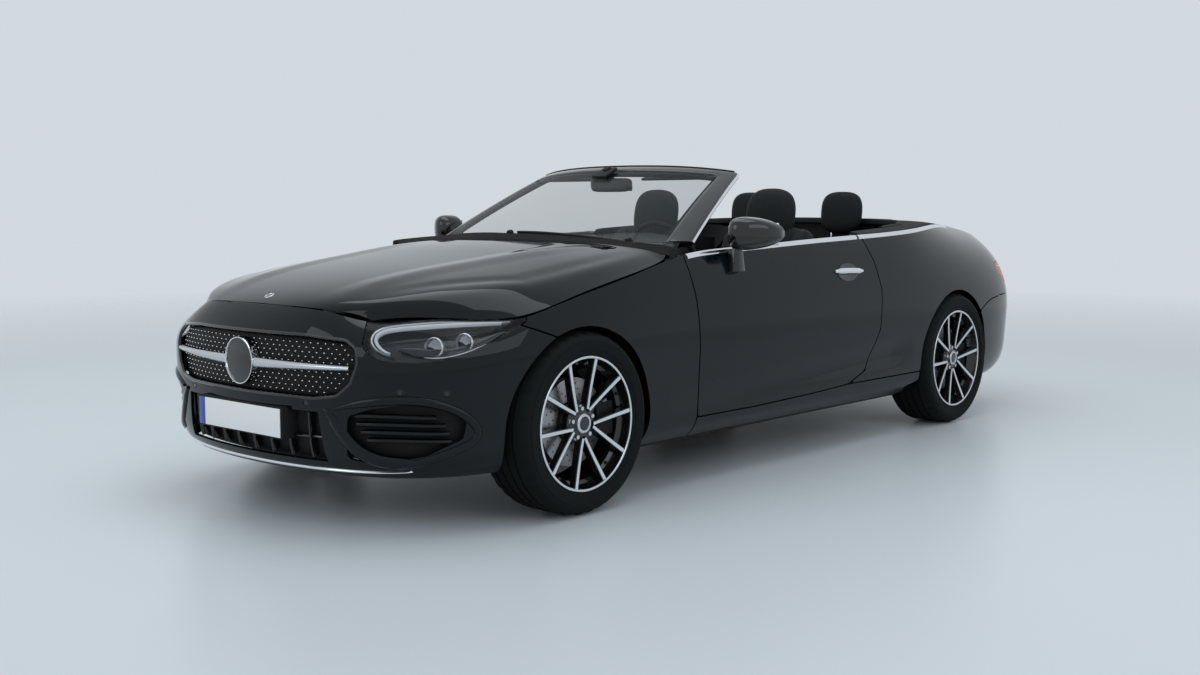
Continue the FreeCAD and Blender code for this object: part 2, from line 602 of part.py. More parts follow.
# Wheel arch liners with the openings that the suspension passes through
liners = []
spread = size("arm_half_width") + size("move_gap")
for wheel_x in (FRONT_X, REAR_X):
    radius, liner_wall, inner_y = size("liner_radius"), size("liner_wall"), size("liner_inner_y")
    axle = size("axle_height")
    shell = arch(wheel_x, radius + liner_wall, axle, inner_y - liner_wall, 920)
    shell = shell.cut(arch(wheel_x, radius, axle, inner_y, 930))
    shell = shell.common(box(wheel_x - 500, wheel_x + 500, 300, 920, size("sill_top_z"), 1000))
    shell = shell.cut(box(wheel_x - spread, wheel_x + spread, 300, inner_y + 10, 100, axle + 190))
    outer = nose_slab.fuse(side_slab) if wheel_x > 0 else quarter_slab
    shell = inside(inside(shell, outer), sill)
    liners += [shell, mirrored(shell)]
piece("wheel_arch_liners", formed("wheel_arch_liners", several(liners)))

# Front subframe: rails to the bumper, cross member, arms and king pins
front_bits = [block("cross_member", ("front_axle_x - carrier_half * 2", "-rail_y - rail_width / 2",
                                     "axle_height - carrier_height / 2 - move_gap - arm_thickness"),
                    ("carrier_half * 4", "2 * rail_y + rail_width", "cross_height"))]
for word, sign in SIDES:
    low_y = "rail_y - rail_width / 2" if sign > 0 else "-rail_y - rail_width / 2"
    front_bits.append(block("rail_" + word, ("firewall_x", low_y, "rail_z"),
                            ("plate_x - firewall_x", "rail_width", "rail_height")))
    front_bits.append(block("post_" + word, ("front_axle_x - carrier_half * 2", low_y,
                                             "axle_height - carrier_height / 2 - move_gap - arm_thickness"),
                            ("carrier_half * 4", "rail_width", "rail_z - axle_height + carrier_height")))
    arm_y = "rail_y" if sign > 0 else "-kingpin_y - kingpin_radius - arm_rim"
    pin_y = "kingpin_y" if sign > 0 else "-kingpin_y"
    for level, arm_z, pin_z in (
            ("low", "axle_height - carrier_height / 2 - move_gap - arm_thickness",
             "axle_height - carrier_height / 2 - move_gap"),
            ("high", "axle_height + carrier_height / 2 + move_gap",
             "axle_height + carrier_height / 2 - kingpin_depth")):
        front_bits.append(block("arm_%s_%s" % (level, word), ("front_axle_x - arm_half_width", arm_y, arm_z),
                                ("2 * arm_half_width", "kingpin_y + kingpin_radius + arm_rim - rail_y",
                                 "arm_thickness")))
        front_bits.append(drum("kingpin_%s_%s" % (level, word), "kingpin_radius", "kingpin_depth + move_gap",
                               ("front_axle_x", pin_y, pin_z)))
front_frame = fused("front_frame", front_bits)
doc.recompute()
piece("front_subframe", formed("front_subframe", inside(front_frame.Shape, nose_slab)))


def carrier(name, x, wheel_y):
    """An upright with its spindle and brake caliper, on the left."""
    bits = [
        block(name + "_upright", (x + " - carrier_half", "kingpin_y - carrier_half",
                                  "axle_height - carrier_height / 2"),
              ("2 * carrier_half", wheel_y + " + disc_face - disc_gap - kingpin_y + carrier_half",
               "carrier_height")),
        drum(name + "_spindle", "spindle_radius", wheel_y + " + spoke_face - disc_gap - kingpin_y",
             (x, "kingpin_y", "axle_height"), "y"),
        block(name + "_bracket", (x + " - caliper_far", "kingpin_y - carrier_half",
                                  "axle_height - caliper_half"),
              ("caliper_far", wheel_y + " + disc_face - disc_gap - kingpin_y + carrier_half",
               "2 * caliper_half")),
        block(name + "_caliper", (x + " - caliper_far", "kingpin_y - carrier_half",
                                  "axle_height - caliper_half"),
              ("caliper_far - caliper_near", wheel_y + " + caliper_face - kingpin_y + carrier_half",
               "2 * caliper_half")),
    ]
    slot = drum(name + "_slot", "disc_radius + disc_gap", "disc_thickness + 2 * disc_gap",
                (x, wheel_y + " + disc_face - disc_gap", "axle_height"), "y")
    spindle = drum(name + "_core", "spindle_radius", wheel_y + " + spoke_face - disc_gap - kingpin_y",
                   (x, "kingpin_y", "axle_height"), "y")
    return fused(name + "_body", [cut(name + "_slotted", fused(name + "_rough", bits), slot), spindle])


knuckle = carrier("front_carrier", "front_axle_x", "front_wheel_y")
sockets = [drum("socket_" + level, "kingpin_radius + running_play", "kingpin_depth + running_play + 2",
                ("front_axle_x", "kingpin_y", z))
           for level, z in (("low", "axle_height - carrier_height / 2 - 2"),
                            ("high", "axle_height + carrier_height / 2 - kingpin_depth - running_play"))]
pair("steering_knuckle", cut("knuckle", knuckle, fused("sockets", sockets)))

# Rear axle: tube, rails under the seat pan and the two carriers
left_carrier = carrier("rear_carrier", "front_axle_x - wheelbase", "rear_wheel_y")
rear_bits = [left_carrier, reflected("rear_carrier_right", left_carrier),
             drum("axle_tube", "axle_tube_radius", "2 * kingpin_y",
                  ("front_axle_x - wheelbase", "-kingpin_y", "axle_height"), "y")]
for word, sign in SIDES:
    low_y = "rail_y - rail_width / 2" if sign > 0 else "-rail_y - rail_width / 2"
    rear_bits.append(block("rear_rail_" + word, ("front_axle_x - wheelbase - rear_rail_half", low_y,
                                                 "axle_height"),
                           ("2 * rear_rail_half", "rail_width", "pan_z - axle_height")))
piece("rear_subframe", fused("rear_subframe", rear_bits))


# Wheels

def tyre(name, x, y):
    low_y = y + " - tyre_width / 2"
    whole = drum(name + "_round", "tyre_radius", "tyre_width", (x, low_y, "axle_height"), "y")
    bore = drum(name + "_bore", "rim_radius + seat_play", "tyre_width", (x, low_y, "axle_height"), "y")
    ring = cut(name + "_ring", whole, bore)
    doc.recompute()
    item = doc.addObject("Part::Chamfer", name)
    item.Base = ring
    width = size("tyre_chamfer")
    edges = [i for i, edge in enumerate(ring.Shape.Edges, 1)
             if hasattr(edge.Curve, "Radius") and abs(edge.Curve.Radius - size("tyre_radius")) < 0.01]
    item.Edges = [(i, width * 0.7, width) for i in edges]
    return item


def rim_shape(x, y):
    """Barrel, hub and five pairs of spokes."""
    axle, radius = size("axle_height"), size("rim_radius")
    half = size("rim_width") / 2
    barrel = arch(x, radius, axle, y - half, y + half)
    barrel = barrel.cut(arch(x, radius - size("rim_wall"), axle, y - half, y + half))
    bits = [arch(x, size("hub_radius"), axle, y + size("hub_face"), y + size("spoke_face"))]
    half_width, face = size("spoke_width") / 2, y + size("spoke_face")
    foot = axle + size("spoke_foot")
    for turn in range(5):
        for side in (-1, 1):
            spoke = box(x - half_width, x + half_width, face - size("spoke_depth"), face,
                        foot - half_width, foot + size("spoke_length"))
            spoke.rotate(V(x, y, foot), V(0, 1, 0), side * size("spoke_lean"))
            spoke.rotate(V(x, y, axle), V(0, 1, 0), size("spoke_start") + 72 * turn)
            bits.append(spoke)
    bore = arch(x, size("spindle_radius") + size("running_play"), axle, y, y + 200)
    return barrel.fuse(bits).cut(bore)


def brake_disc(name, x, y):
    bits = [drum(name + "_plate", "disc_radius", "disc_thickness", (x, y + " + disc_face", "axle_height"), "y"),
            drum(name + "_bell", "bell_radius", "hub_face - disc_face", (x, y + " + disc_face", "axle_height"),
                 "y")]
    bore = drum(name + "_hole", "spindle_radius + running_play", "2 * hub_face",
                (x, y, "axle_height"), "y")
    return cut(name, fused(name + "_solid", bits), bore)


for place_word, x_text, y_text, wheel_x, wheel_y in (
        ("front", "front_axle_x", "front_wheel_y", FRONT_X, size("front_wheel_y")),
        ("rear", "front_axle_x - wheelbase", "rear_wheel_y", REAR_X, size("rear_wheel_y"))):
    pair("tyre_" + place_word, tyre("tyre_" + place_word, x_text, y_text))
    pair("rim_" + place_word, formed("rim_" + place_word, rim_shape(wheel_x, wheel_y)))
    pair("brake_disc_" + place_word, brake_disc("brake_disc_" + place_word, x_text, y_text))

# Engine on the cross member
piece("engine", block("engine", ("front_axle_x - engine_length / 2", "-engine_width / 2",
                                 "axle_height - carrier_height / 2 - move_gap - arm_thickness + cross_height"),
                      ("engine_length", "engine_width", "engine_height")))

# Cabin: dashboard, steering wheel, seats, console and side trims
DASH = [(1034, 560), (1034, 925), (960, 948), (760, 940), (650, 915), (600, 860), (590, 790),
        (660, 720), (800, 690), (860, 560)]
dash = profiled("dash_block", DASH, "0", "2 * (post_outer_y - post_width) - 2 * seat_play")
doc.recompute()
piece("dashboard", formed("dashboard", inside(inside(dash.Shape, cowl), screen_slab)))
SEAT = [(330, 300), (372, 360), (380, 440), (340, 490), (-20, 455), (-130, 470), (-215, 600),
        (-330, 985), (-375, 1190), (-410, 1220), (-450, 1215), (-468, 1170), (-455, 960),
        (-330, 520), (-300, 340), (-250, 300)]
FOOT = [(300, 204), (300, 300), (-230, 300), (-230, 204)]
seat = profiled("seat_block", SEAT, "seat_y", "seat_width")
foot = profiled("seat_foot", FOOT, "seat_y", "seat_width - 2 * seat_foot_inset")
shoulders = []
for word, sign in SIDES:
    near = "seat_y + headrest_width / 2" if sign > 0 else "seat_y - seat_width / 2 - 1"
    shoulders.append(block("shoulder_" + word, ("-600", near, "shoulder_z"),
                           ("700", "(seat_width - headrest_width) / 2 + 1", "300")))
seat_shape = cut("seat", fused("seat_whole", [seat, foot]), fused("shoulders", shoulders))
pair("front_seat", seat_shape)
REAR_SEAT = [(-840, 426), (-826, 520), (-860, 560), (-1080, 530), (-1120, 620), (-1160, 930),
             (-1239, 930), (-1239, 426)]
REAR_HEAD = [(-1130, 930), (-1125, 1180), (-1150, 1215), (-1185, 1215), (-1200, 1180), (-1205, 930)]
rear_seat = profiled("rear_bench", REAR_SEAT, "0", "2 * tub_half_width")
rests = [profiled("rear_rest_" + word, REAR_HEAD, "%s * rear_rest_y" % sign, "rear_rest_width")
         for word, sign in (("left", "1"), ("right", "-1"))]
piece("rear_seat", fused("rear_seat", [rear_seat] + rests))
CONSOLE = [(589, 204), (589, 700), (540, 660), (470, 520), (100, 500), (-80, 540), (-330, 540),
           (-360, 500), (-360, 204)]
console = profiled("console_block", CONSOLE, "0", "console_width")
piece("centre_console", cut("centre_console", console, dash))

# Steering wheel on its column
middle = V(430, size("seat_y"), 880)
tilt = FreeCAD.Rotation(V(0, 1, 0), -68)
ring = doc.addObject("Part::Torus", "steering_ring")
ring.Placement = FreeCAD.Placement(middle, tilt)
bind(ring, "Radius1", "steering_radius")
bind(ring, "Radius2", "steering_rim")
boss = doc.addObject("Part::Cylinder", "steering_boss")
boss.Placement = FreeCAD.Placement(middle - tilt.multVec(V(0, 0, 45)), tilt)
bind(boss, "Radius", "steering_radius / 3")
bind(boss, "Height", "steering_rim * 4")
column = doc.addObject("Part::Cylinder", "steering_column")
column.Placement = FreeCAD.Placement(middle - tilt.multVec(V(0, 0, 330)), tilt)
bind(column, "Radius", "steering_rim * 2.5")
column.Height = 300
spokes = []
for turn in (0, 180, 270):
    spoke = doc.addObject("Part::Box", "steering_spoke_%d" % turn)
    spin = tilt.multiply(FreeCAD.Rotation(V(0, 0, 1), turn + 90))
    spoke.Placement = FreeCAD.Placement(middle + spin.multVec(V(0, -18, -8)), spin)
    bind(spoke, "Length", "steering_radius")
    spoke.Width = 36
    spoke.Height = 16
    spokes.append(spoke)
wheel = fused("wheel_and_column", [ring, boss, column] + spokes)
piece("steering_wheel", cut("steering_wheel", wheel, dash))

# Door mirrors and handles, which move with the doors
mirror_box = block("mirror_box", ("mirror_x", "mirror_y", "mirror_z"),
                   ("mirror_depth", "mirror_width", "mirror_height"))
doc.recompute()
mirror = doc.addObject("Part::Fillet", "mirror_round")
mirror.Base = mirror_box
mirror.Edges = [(i, size("mirror_round"), size("mirror_round")) for i in range(1, 13)]
stalk = block("mirror_stalk", ("mirror_x + mirror_depth / 3", "mirror_y - mirror_width / 4",
                               "mirror_z - mirror_width / 2"),
              ("mirror_depth / 2", "mirror_width / 2", "mirror_width / 2 + mirror_height / 2"))
mirror_whole = fused("mirror_whole", [mirror, stalk])
doc.recompute()
pair("door_mirror", formed("mirror", inside(mirror_whole.Shape, door)))
grip = block("grip", ("handle_x - handle_length / 2", "handle_face - handle_depth", "handle_z"),
             ("handle_length", "handle_depth", "handle_height"))
doc.recompute()
pair("door_handle", formed("handle", inside(grip.Shape, door)))

# Interior mirror, plates, side trims and exhaust tips
rear_view = block("rear_view", ("rear_view_x", "-rear_view_width / 2", "rear_view_z"),
                  ("rear_view_depth", "rear_view_width", "rear_view_height"))
stem = block("rear_view_stem", ("rear_view_x", "-rear_view_depth / 2", "rear_view_z"),
             ("rear_view_depth", "rear_view_depth", "rear_view_height * 2"))
hung = fused("rear_view_whole", [rear_view, stem])
doc.recompute()
piece("interior_mirror", formed("interior_mirror", inside(hung.Shape, glass)))
plate = box(size("plate_x") - 90, size("plate_x"), -size("plate_width") / 2, size("plate_width") / 2,
            size("plate_z") - size("plate_height") / 2, size("plate_z") + size("plate_height") / 2)
plate = inside(inside(inside(plate, bumper), intake), grille)
piece("front_plate", formed("front_plate", plate))
plate = box(-size("plate_x"), 30 - size("plate_x"), -size("plate_width") / 2, size("plate_width") / 2,
            size("rear_plate_z"), size("rear_plate_z") + size("plate_height"))
piece("rear_plate", formed("rear_plate", inside(plate, lid)))
trim = box(-1235, -600, size("trim_y"), 820, size("pan_z"), 948)
trim = inside(inside(trim, quarter_slab), arch(REAR_X, size("liner_radius") + size("liner_wall"),
                                               size("axle_height"), 300, 900))
trim = inside(inside(trim, deck_space), box(-700, -500, 500, 735, 300, 1000))
trim = inside(trim, tub_shape)
piece("rear_side_trims", formed("rear_side_trims", several([trim, mirrored(trim)])))
tip = box(-2380, -2260, 430, 590, 262, 318)
tip = tip.cut(box(-2380, -2350, 436, 584, 268, 312))
tip = inside(tip, rear_bumper)
piece("exhaust_tips", formed("exhaust_tips", several([tip, mirrored(tip)])))

doc.recompute()
for item in doc.Objects:
    if "Invalid" in item.State or "Error" in item.State:
        raise RuntimeError("%s failed" % item.Label)
os.makedirs("parts", exist_ok=True)
for item in PIECES:
    shape = item.Shape
    if shape.isNull() or not shape.isValid() or not shape.Solids:
        raise RuntimeError("%s has no valid solid" % item.Label)
    shape.exportStep("parts/%s.step" % item.Label)
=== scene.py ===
"""Convertible car: the looks of every surface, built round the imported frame. Metres, +X forward, +Y left."""

import json
import logging
import math
from dataclasses import dataclass, field
from enum import Enum
from typing import Callable, Iterable, Optional, Sequence

import bmesh
import bpy
import numpy as np
from mathutils import Matrix, Vector

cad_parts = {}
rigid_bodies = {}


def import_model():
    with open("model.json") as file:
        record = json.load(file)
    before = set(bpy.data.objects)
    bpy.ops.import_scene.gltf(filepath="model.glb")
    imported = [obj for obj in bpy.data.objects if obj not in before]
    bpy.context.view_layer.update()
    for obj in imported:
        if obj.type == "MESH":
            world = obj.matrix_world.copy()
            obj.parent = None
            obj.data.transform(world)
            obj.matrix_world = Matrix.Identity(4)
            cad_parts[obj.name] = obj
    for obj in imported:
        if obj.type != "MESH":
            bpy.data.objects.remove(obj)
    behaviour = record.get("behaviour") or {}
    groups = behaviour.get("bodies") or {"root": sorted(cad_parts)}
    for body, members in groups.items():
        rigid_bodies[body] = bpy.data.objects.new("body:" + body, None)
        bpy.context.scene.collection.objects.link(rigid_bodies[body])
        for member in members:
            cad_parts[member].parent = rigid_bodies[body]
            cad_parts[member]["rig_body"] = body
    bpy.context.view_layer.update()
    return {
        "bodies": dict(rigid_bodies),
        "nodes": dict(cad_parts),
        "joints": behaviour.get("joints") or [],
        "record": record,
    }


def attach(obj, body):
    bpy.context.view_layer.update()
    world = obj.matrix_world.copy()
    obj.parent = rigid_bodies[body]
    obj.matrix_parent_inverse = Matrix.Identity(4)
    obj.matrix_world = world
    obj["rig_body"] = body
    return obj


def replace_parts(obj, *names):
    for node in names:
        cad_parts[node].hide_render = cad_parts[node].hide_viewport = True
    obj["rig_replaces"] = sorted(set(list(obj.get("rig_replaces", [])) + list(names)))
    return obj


LOG = logging.getLogger("car")
Point = tuple[float, float, float]


# Shader maths

class Nodes:
    """One material's node tree, with a short way to add nodes."""

    def __init__(self, name: str) -> None:
        """Start an empty material.

        Args:
            name: the material's name.
        """
        self.material = bpy.data.materials.new(name)
        self.material.use_nodes = True
        self.tree = self.material.node_tree
        self.tree.nodes.clear()

    def add(self, kind: str, settings: Optional[dict] = None, **sockets: object) -> bpy.types.Node:
        """Add one node, set its settings first and then its sockets.

        Args:
            kind: the node's type name.
            settings: attributes of the node, such as a Math node's operation.
            sockets: input names with spaces as underscores, each a value or a Value.

        Returns:
            The new node.
        """
        node = self.tree.nodes.new(kind)
        for key, value in (settings or {}).items():
            setattr(node, key, value)
        for key, value in sockets.items():
            socket = node.inputs[int(key[1:])] if key[0] == "i" and key[1:].isdigit() else \
                node.inputs[key.replace("_", " ")]
            self.feed(socket, value)
        return node

    def feed(self, socket: bpy.types.NodeSocket, value: object) -> None:
        """Link a Value into a socket, or set a plain number or colour."""
        if isinstance(value, Value):
            self.tree.links.new(value.socket, socket)
        elif isinstance(value, (tuple, list)) and len(value) == 3 and len(socket.default_value) == 4:
            socket.default_value = (*value, 1.0)
        else:
            socket.default_value = value

    def value(self, node: bpy.types.Node, output: object = 0) -> "Value":
        """A node's output as a Value."""
        return Value(self, node.outputs[output])

    def place(self) -> "Value":
        """Object coordinates."""
        return self.value(self.add("ShaderNodeTexCoord"), "Object")

    def noise(self, scale: float, detail: float = 3.0, vector: Optional["Value"] = None) -> "Value":
        """A noise pattern from 0 to 1.

        Args:
            scale: how fine it is.
            detail: how many octaves.
            vector: where it is read, Object coordinates if left out.

        Returns:
            Its factor.
        """
        where = vector or self.place()
        return self.value(self.add("ShaderNodeTexNoise", None, Vector=where, Scale=scale, Detail=detail))

    def cells(self, scale: float, feature: str = "F1") -> "Value":
        """Distances in a cell pattern."""
        return self.value(self.add("ShaderNodeTexVoronoi", {"feature": feature}, Vector=self.place(),
                                   Scale=scale), "Distance")

    def ramp(self, factor: "Value", low: float, high: float) -> "Value":
        """A factor stretched so that low becomes 0 and high becomes 1, clamped."""
        node = self.add("ShaderNodeMapRange", None, Value=factor)
        node.inputs["From Min"].default_value = low
        node.inputs["From Max"].default_value = high
        return self.value(node)

    def mix(self, factor: "Value", first: Sequence[float], second: Sequence[float]) -> "Value":
        """A blend of two colours."""
        node = self.add("ShaderNodeMix", {"data_type": "RGBA"})
        self.feed(node.inputs["Factor"], factor)
        self.feed(node.inputs["A"] if node.inputs["A"].type == "RGBA" else node.inputs[6], tuple(first))
        self.feed(node.inputs[7], tuple(second))
        return self.value(node, 2)

    def bump(self, height: "Value", distance: float, strength: float = 1.0) -> "Value":
        """A normal from a height pattern."""
        return self.value(self.add("ShaderNodeBump", None, Height=height, Distance=distance,
                                   Strength=strength), "Normal")

    def finish(self, **sockets: object) -> bpy.types.Material:
        """End the tree with one shader.

        Args:
            sockets: the shader's inputs.

        Returns:
            The finished material.
        """
        shader = self.add("ShaderNodeBsdfPrincipled", None, **sockets)
        out = self.add("ShaderNodeOutputMaterial")
        self.tree.links.new(shader.outputs[0], out.inputs["Surface"])
        return self.material


class Value:
    """A socket that takes part in Python expressions."""

    def __init__(self, nodes: Nodes, socket: bpy.types.NodeSocket) -> None:
        """Wrap an output socket."""
        self.nodes = nodes
        self.socket = socket

    def _math(self, operation: str, first: object, second: object) -> "Value":
        """One Math node on two numbers or Values."""
        node = self.nodes.add("ShaderNodeMath", {"operation": operation}, i0=first, i1=second)
        return Value(self.nodes, node.outputs[0])

    def __add__(self, other: object) -> "Value":
        """self + other."""
        return self._math("ADD", self, other)

    __radd__ = __add__

    def __sub__(self, other: object) -> "Value":
        """self - other."""
        return self._math("SUBTRACT", self, other)

    def __rsub__(self, other: object) -> "Value":
        """other - self."""
        return self._math("SUBTRACT", other, self)

    def __mul__(self, other: object) -> "Value":
        """self * other."""
        return self._math("MULTIPLY", self, other)

    __rmul__ = __mul__

    def __gt__(self, other: object) -> "Value":
        """1 where self is the larger."""
        return self._math("GREATER_THAN", self, other)


# Finishes

@dataclass(frozen=True)
class Finish:
    """A plain finish with a slight unevenness of colour and gloss."""

    name: str
    slot: str
    colour: Point
    rough: float
    metal: float = 0.0
    coat: float = 0.0
    grain: float = 300.0
    relief: float = 0.0
    spread: float = 0.25
    gloss: float = 0.5

    def build(self) -> bpy.types.Material:
        """Make the material.

        Returns:
            The material with its grain and unevenness.
        """
        nodes = Nodes(self.name)
        cloud = nodes.noise(9.0, 4.0)
        fine = nodes.noise(self.grain, 2.0)
        dark = tuple(c * (1 - self.spread) for c in self.colour)
        light = tuple(min(1.0, c * (1 + self.spread)) for c in self.colour)
        sockets = dict(Base_Color=nodes.mix(cloud * 0.6 + fine * 0.4, dark, light),
                       Roughness=cloud * (self.rough * 0.25) + self.rough * 0.88,
                       Metallic=self.metal, Coat_Weight=self.coat, Coat_Roughness=0.03,
                       Specular_IOR_Level=self.gloss)
        if self.relief:
            sockets["Normal"] = nodes.bump(fine, self.relief)
        return nodes.finish(**sockets)


@dataclass(frozen=True)
class Paint(Finish):
    """Deep gloss paint with fine flakes under a clear coat."""

    flake: float = 2600.0

    def build(self) -> bpy.types.Material:
        """Make the paint.

        Returns:
            The material with its flakes.
        """
        nodes = Nodes(self.name)
        flakes = nodes.ramp(nodes.cells(self.flake), 0.0, 0.5)
        cloud = nodes.noise(3.0, 2.0)
        bright = tuple(c * 2.2 for c in self.colour)
        return nodes.finish(Base_Color=nodes.mix(flakes, bright, self.colour), Metallic=self.metal,
                            Roughness=cloud * 0.05 + self.rough, Specular_IOR_Level=0.0, Coat_Weight=1.0,
                            Coat_Roughness=0.015, Coat_IOR=1.36)


@dataclass(frozen=True)
class Leather(Finish):
    """Soft leather with a fine pebble grain."""

    def build(self) -> bpy.types.Material:
        """Make the leather.

        Returns:
            The material with its grain and creases.
        """
        nodes = Nodes(self.name)
        pebble = nodes.ramp(nodes.cells(420.0), 0.0, 0.7)
        crease = nodes.noise(26.0, 5.0)
        light = tuple(c * 1.7 for c in self.colour)
        return nodes.finish(Base_Color=nodes.mix(pebble * 0.5 + crease * 0.5, self.colour, light),
                            Roughness=crease * 0.18 + self.rough, Metallic=0.0, Specular_IOR_Level=self.gloss,
                            Normal=nodes.bump(pebble * 0.5 + crease, 0.0009))


@dataclass(frozen=True)
class Glass(Finish):
    """Clear or tinted glass that lets the view through."""

    alpha: float = 0.25

    def build(self) -> bpy.types.Material:
        """Make the glass.

        Returns:
            The material, clear with a faint haze.
        """
        nodes = Nodes(self.name)
        haze = nodes.noise(4.0, 2.0)
        return nodes.finish(Base_Color=nodes.mix(haze, self.colour, tuple(c * 1.1 for c in self.colour)),
                            Roughness=self.rough, Metallic=0.0, Alpha=haze * 0.02 + self.alpha,
                            Specular_IOR_Level=0.6)


@dataclass(frozen=True)
class Weave(Finish):
    """Closely woven roof fabric."""

    def build(self) -> bpy.types.Material:
        """Make the fabric.

        Returns:
            The material with crossing threads.
        """
        nodes = Nodes(self.name)
        threads = [nodes.value(nodes.add("ShaderNodeTexWave", {"bands_direction": axis}, Vector=nodes.place(),
                                         Scale=220.0), 1) for axis in ("X", "Y")]
        height = threads[0] * 0.5 + threads[1] * 0.5
        light = tuple(c * 2.0 for c in self.colour)
        return nodes.finish(Base_Color=nodes.mix(height, self.colour, light), Roughness=self.rough,
                            Metallic=0.0, Normal=nodes.bump(height, 0.0004))


class Look(Enum):
    """Every finish on the car."""

    PAINT = Paint("black_paint", "body_paint", (0.0004, 0.0026, 0.0042), 0.3)
    PIANO = Finish("piano_black", "black_trim", (0.006, 0.006, 0.007), 0.12, coat=1.0, gloss=0.15)
    PLASTIC = Finish("grained_plastic", "black_trim", (0.014, 0.014, 0.015), 0.55, relief=0.0002, gloss=0.15)
    STRUCTURE = Finish("satin_structure", "chassis_steel", (0.012, 0.012, 0.013), 0.5, gloss=0.15)
    CLOTH = Weave("roof_cloth", "black_trim", (0.006, 0.006, 0.0065), 0.85)
    MESH = Finish("grille_black", "black_trim", (0.006, 0.006, 0.006), 0.5, grain=900.0, relief=0.0008, gloss=0.15)
    CHROME = Finish("chrome", "bright_metal", (0.82, 0.82, 0.84), 0.07, metal=1.0, spread=0.04)
    SATIN = Finish("satin_silver", "bright_metal", (0.62, 0.63, 0.65), 0.24, metal=1.0, spread=0.06)
    MACHINED = Finish("machined_face", "wheel_metal", (0.72, 0.73, 0.75), 0.2, metal=0.9, spread=0.05,
                      grain=900.0, relief=0.00005)
    RIM = Finish("rim_black", "wheel_metal", (0.008, 0.008, 0.009), 0.2, metal=0.2, coat=1.0, gloss=0.15)
    DISC = Finish("turned_iron", "disc_iron", (0.32, 0.32, 0.33), 0.32, metal=0.9, grain=120.0)
    CALIPER = Finish("caliper_grey", "chassis_steel", (0.3, 0.31, 0.32), 0.4, metal=0.5)
    TYRE = Finish("tyre_rubber", "tyre", (0.0045, 0.006, 0.0065), 0.72, grain=500.0, relief=0.0003, gloss=0.15)
    SEAL = Finish("rubber_seal", "black_trim", (0.008, 0.008, 0.008), 0.62, gloss=0.15)
    LEATHER = Leather("black_leather", "leather", (0.0045, 0.0058, 0.0066), 0.5, gloss=0.22)
    DASH = Leather("dash_skin", "dash_plastic", (0.012, 0.012, 0.0125), 0.55)
    THREAD = Finish("seam_thread", "leather", (0.05, 0.05, 0.05), 0.7)
    GLASS = Glass("screen_glass", "glass", (0.02, 0.03, 0.03), 0.02, alpha=0.17)
    LENS = Glass("lamp_lens", "lamp_glass", (0.03, 0.035, 0.04), 0.02, alpha=0.13)
    LAMP_SILVER = Finish("lamp_silver", "lamp_glass", (0.75, 0.77, 0.8), 0.18, metal=0.7, spread=0.05)
    LAMP_DARK = Finish("lamp_dark", "lamp_glass", (0.02, 0.021, 0.024), 0.25, metal=0.4, coat=0.6)
    LIGHT_BAR = Finish("light_bar", "lamp_glass", (0.86, 0.88, 0.92), 0.25, coat=1.0, spread=0.04)
    RED = Finish("red_lens", "red_lens", (0.25, 0.006, 0.008), 0.08, coat=1.0)
    PLATE = Finish("plate_white", "plate_white", (0.78, 0.79, 0.8), 0.35, coat=0.5, spread=0.03)
    BLUE = Finish("plate_blue", "plate_white", (0.01, 0.06, 0.35), 0.35, coat=0.5)
    SCREEN = Finish("display", "dash_plastic", (0.01, 0.012, 0.016), 0.08, coat=1.0)
    MIRROR = Finish("mirror_glass", "glass", (0.6, 0.63, 0.66), 0.02, metal=1.0, spread=0.02)
    CARPET = Finish("carpet", "black_trim", (0.012, 0.012, 0.012), 0.95, grain=700.0, relief=0.0015, gloss=0.15)
    ENGINE = Finish("cast_metal", "engine_metal", (0.2, 0.2, 0.21), 0.5, metal=0.7, relief=0.0004)

    def material(self) -> bpy.types.Material:
        """The finish's material, made once."""
        found = bpy.data.materials.get(self.value.name)
        return found or self.value.build()


# Curved surfaces

def spline_seconds(points: np.ndarray, closed: bool) -> np.ndarray:
    """Second derivatives of the smooth curve through points at whole parameters.

    Args:
        points: one row of points.
        closed: whether the curve joins up.

    Returns:
        One second derivative for each point.
    """
    count = len(points)
    matrix = np.zeros((count, count))
    right = np.zeros_like(points)
    for i in range(count):
        if closed or 0 < i < count - 1:
            matrix[i, i - 1] += 1
            matrix[i, i] += 4
            matrix[i, (i + 1) % count] += 1
            right[i] = 6 * (points[i - 1] - 2 * points[i] + points[(i + 1) % count])
    if not closed:
        slope = (-11 * points[0] + 18 * points[1] - 9 * points[2] + 2 * points[3]) / 6
        matrix[0, :2] = (2, 1)
        right[0] = 6 * (points[1] - points[0] - slope)
        slope = (11 * points[-1] - 18 * points[-2] + 9 * points[-3] - 2 * points[-4]) / 6
        matrix[-1, -2:] = (1, 2)
        right[-1] = 6 * (slope - points[-1] + points[-2])
    return np.linalg.solve(matrix, right)


def blend_weights(v: np.ndarray, rows: int) -> np.ndarray:
    """Weights of each row at positions across a clamped cubic blend.

    Args:
        v: positions from 0 to rows - 3.
        rows: how many rows are blended.

    Returns:
        One line of weights for each position.
    """
    knots = np.concatenate([[0] * 3, np.arange(rows - 2), [rows - 3] * 3]).astype(float)
    v = np.clip(v, 0, rows - 3 - 1e-9)
    basis = np.array([(v >= knots[i]) & (v < knots[i + 1]) for i in range(len(knots) - 1)], float)
    for degree in (1, 2, 3):
        new = []
        for i in range(len(knots) - 1 - degree):
            total = np.zeros_like(v)
            if knots[i + degree] > knots[i]:
                total += (v - knots[i]) / (knots[i + degree] - knots[i]) * basis[i]
            if knots[i + degree + 1] > knots[i + 1]:
                total += (knots[i + degree + 1] - v) / (knots[i + degree + 1] - knots[i + 1]) * basis[i + 1]
            new.append(total)
        basis = np.array(new)
    return basis.T


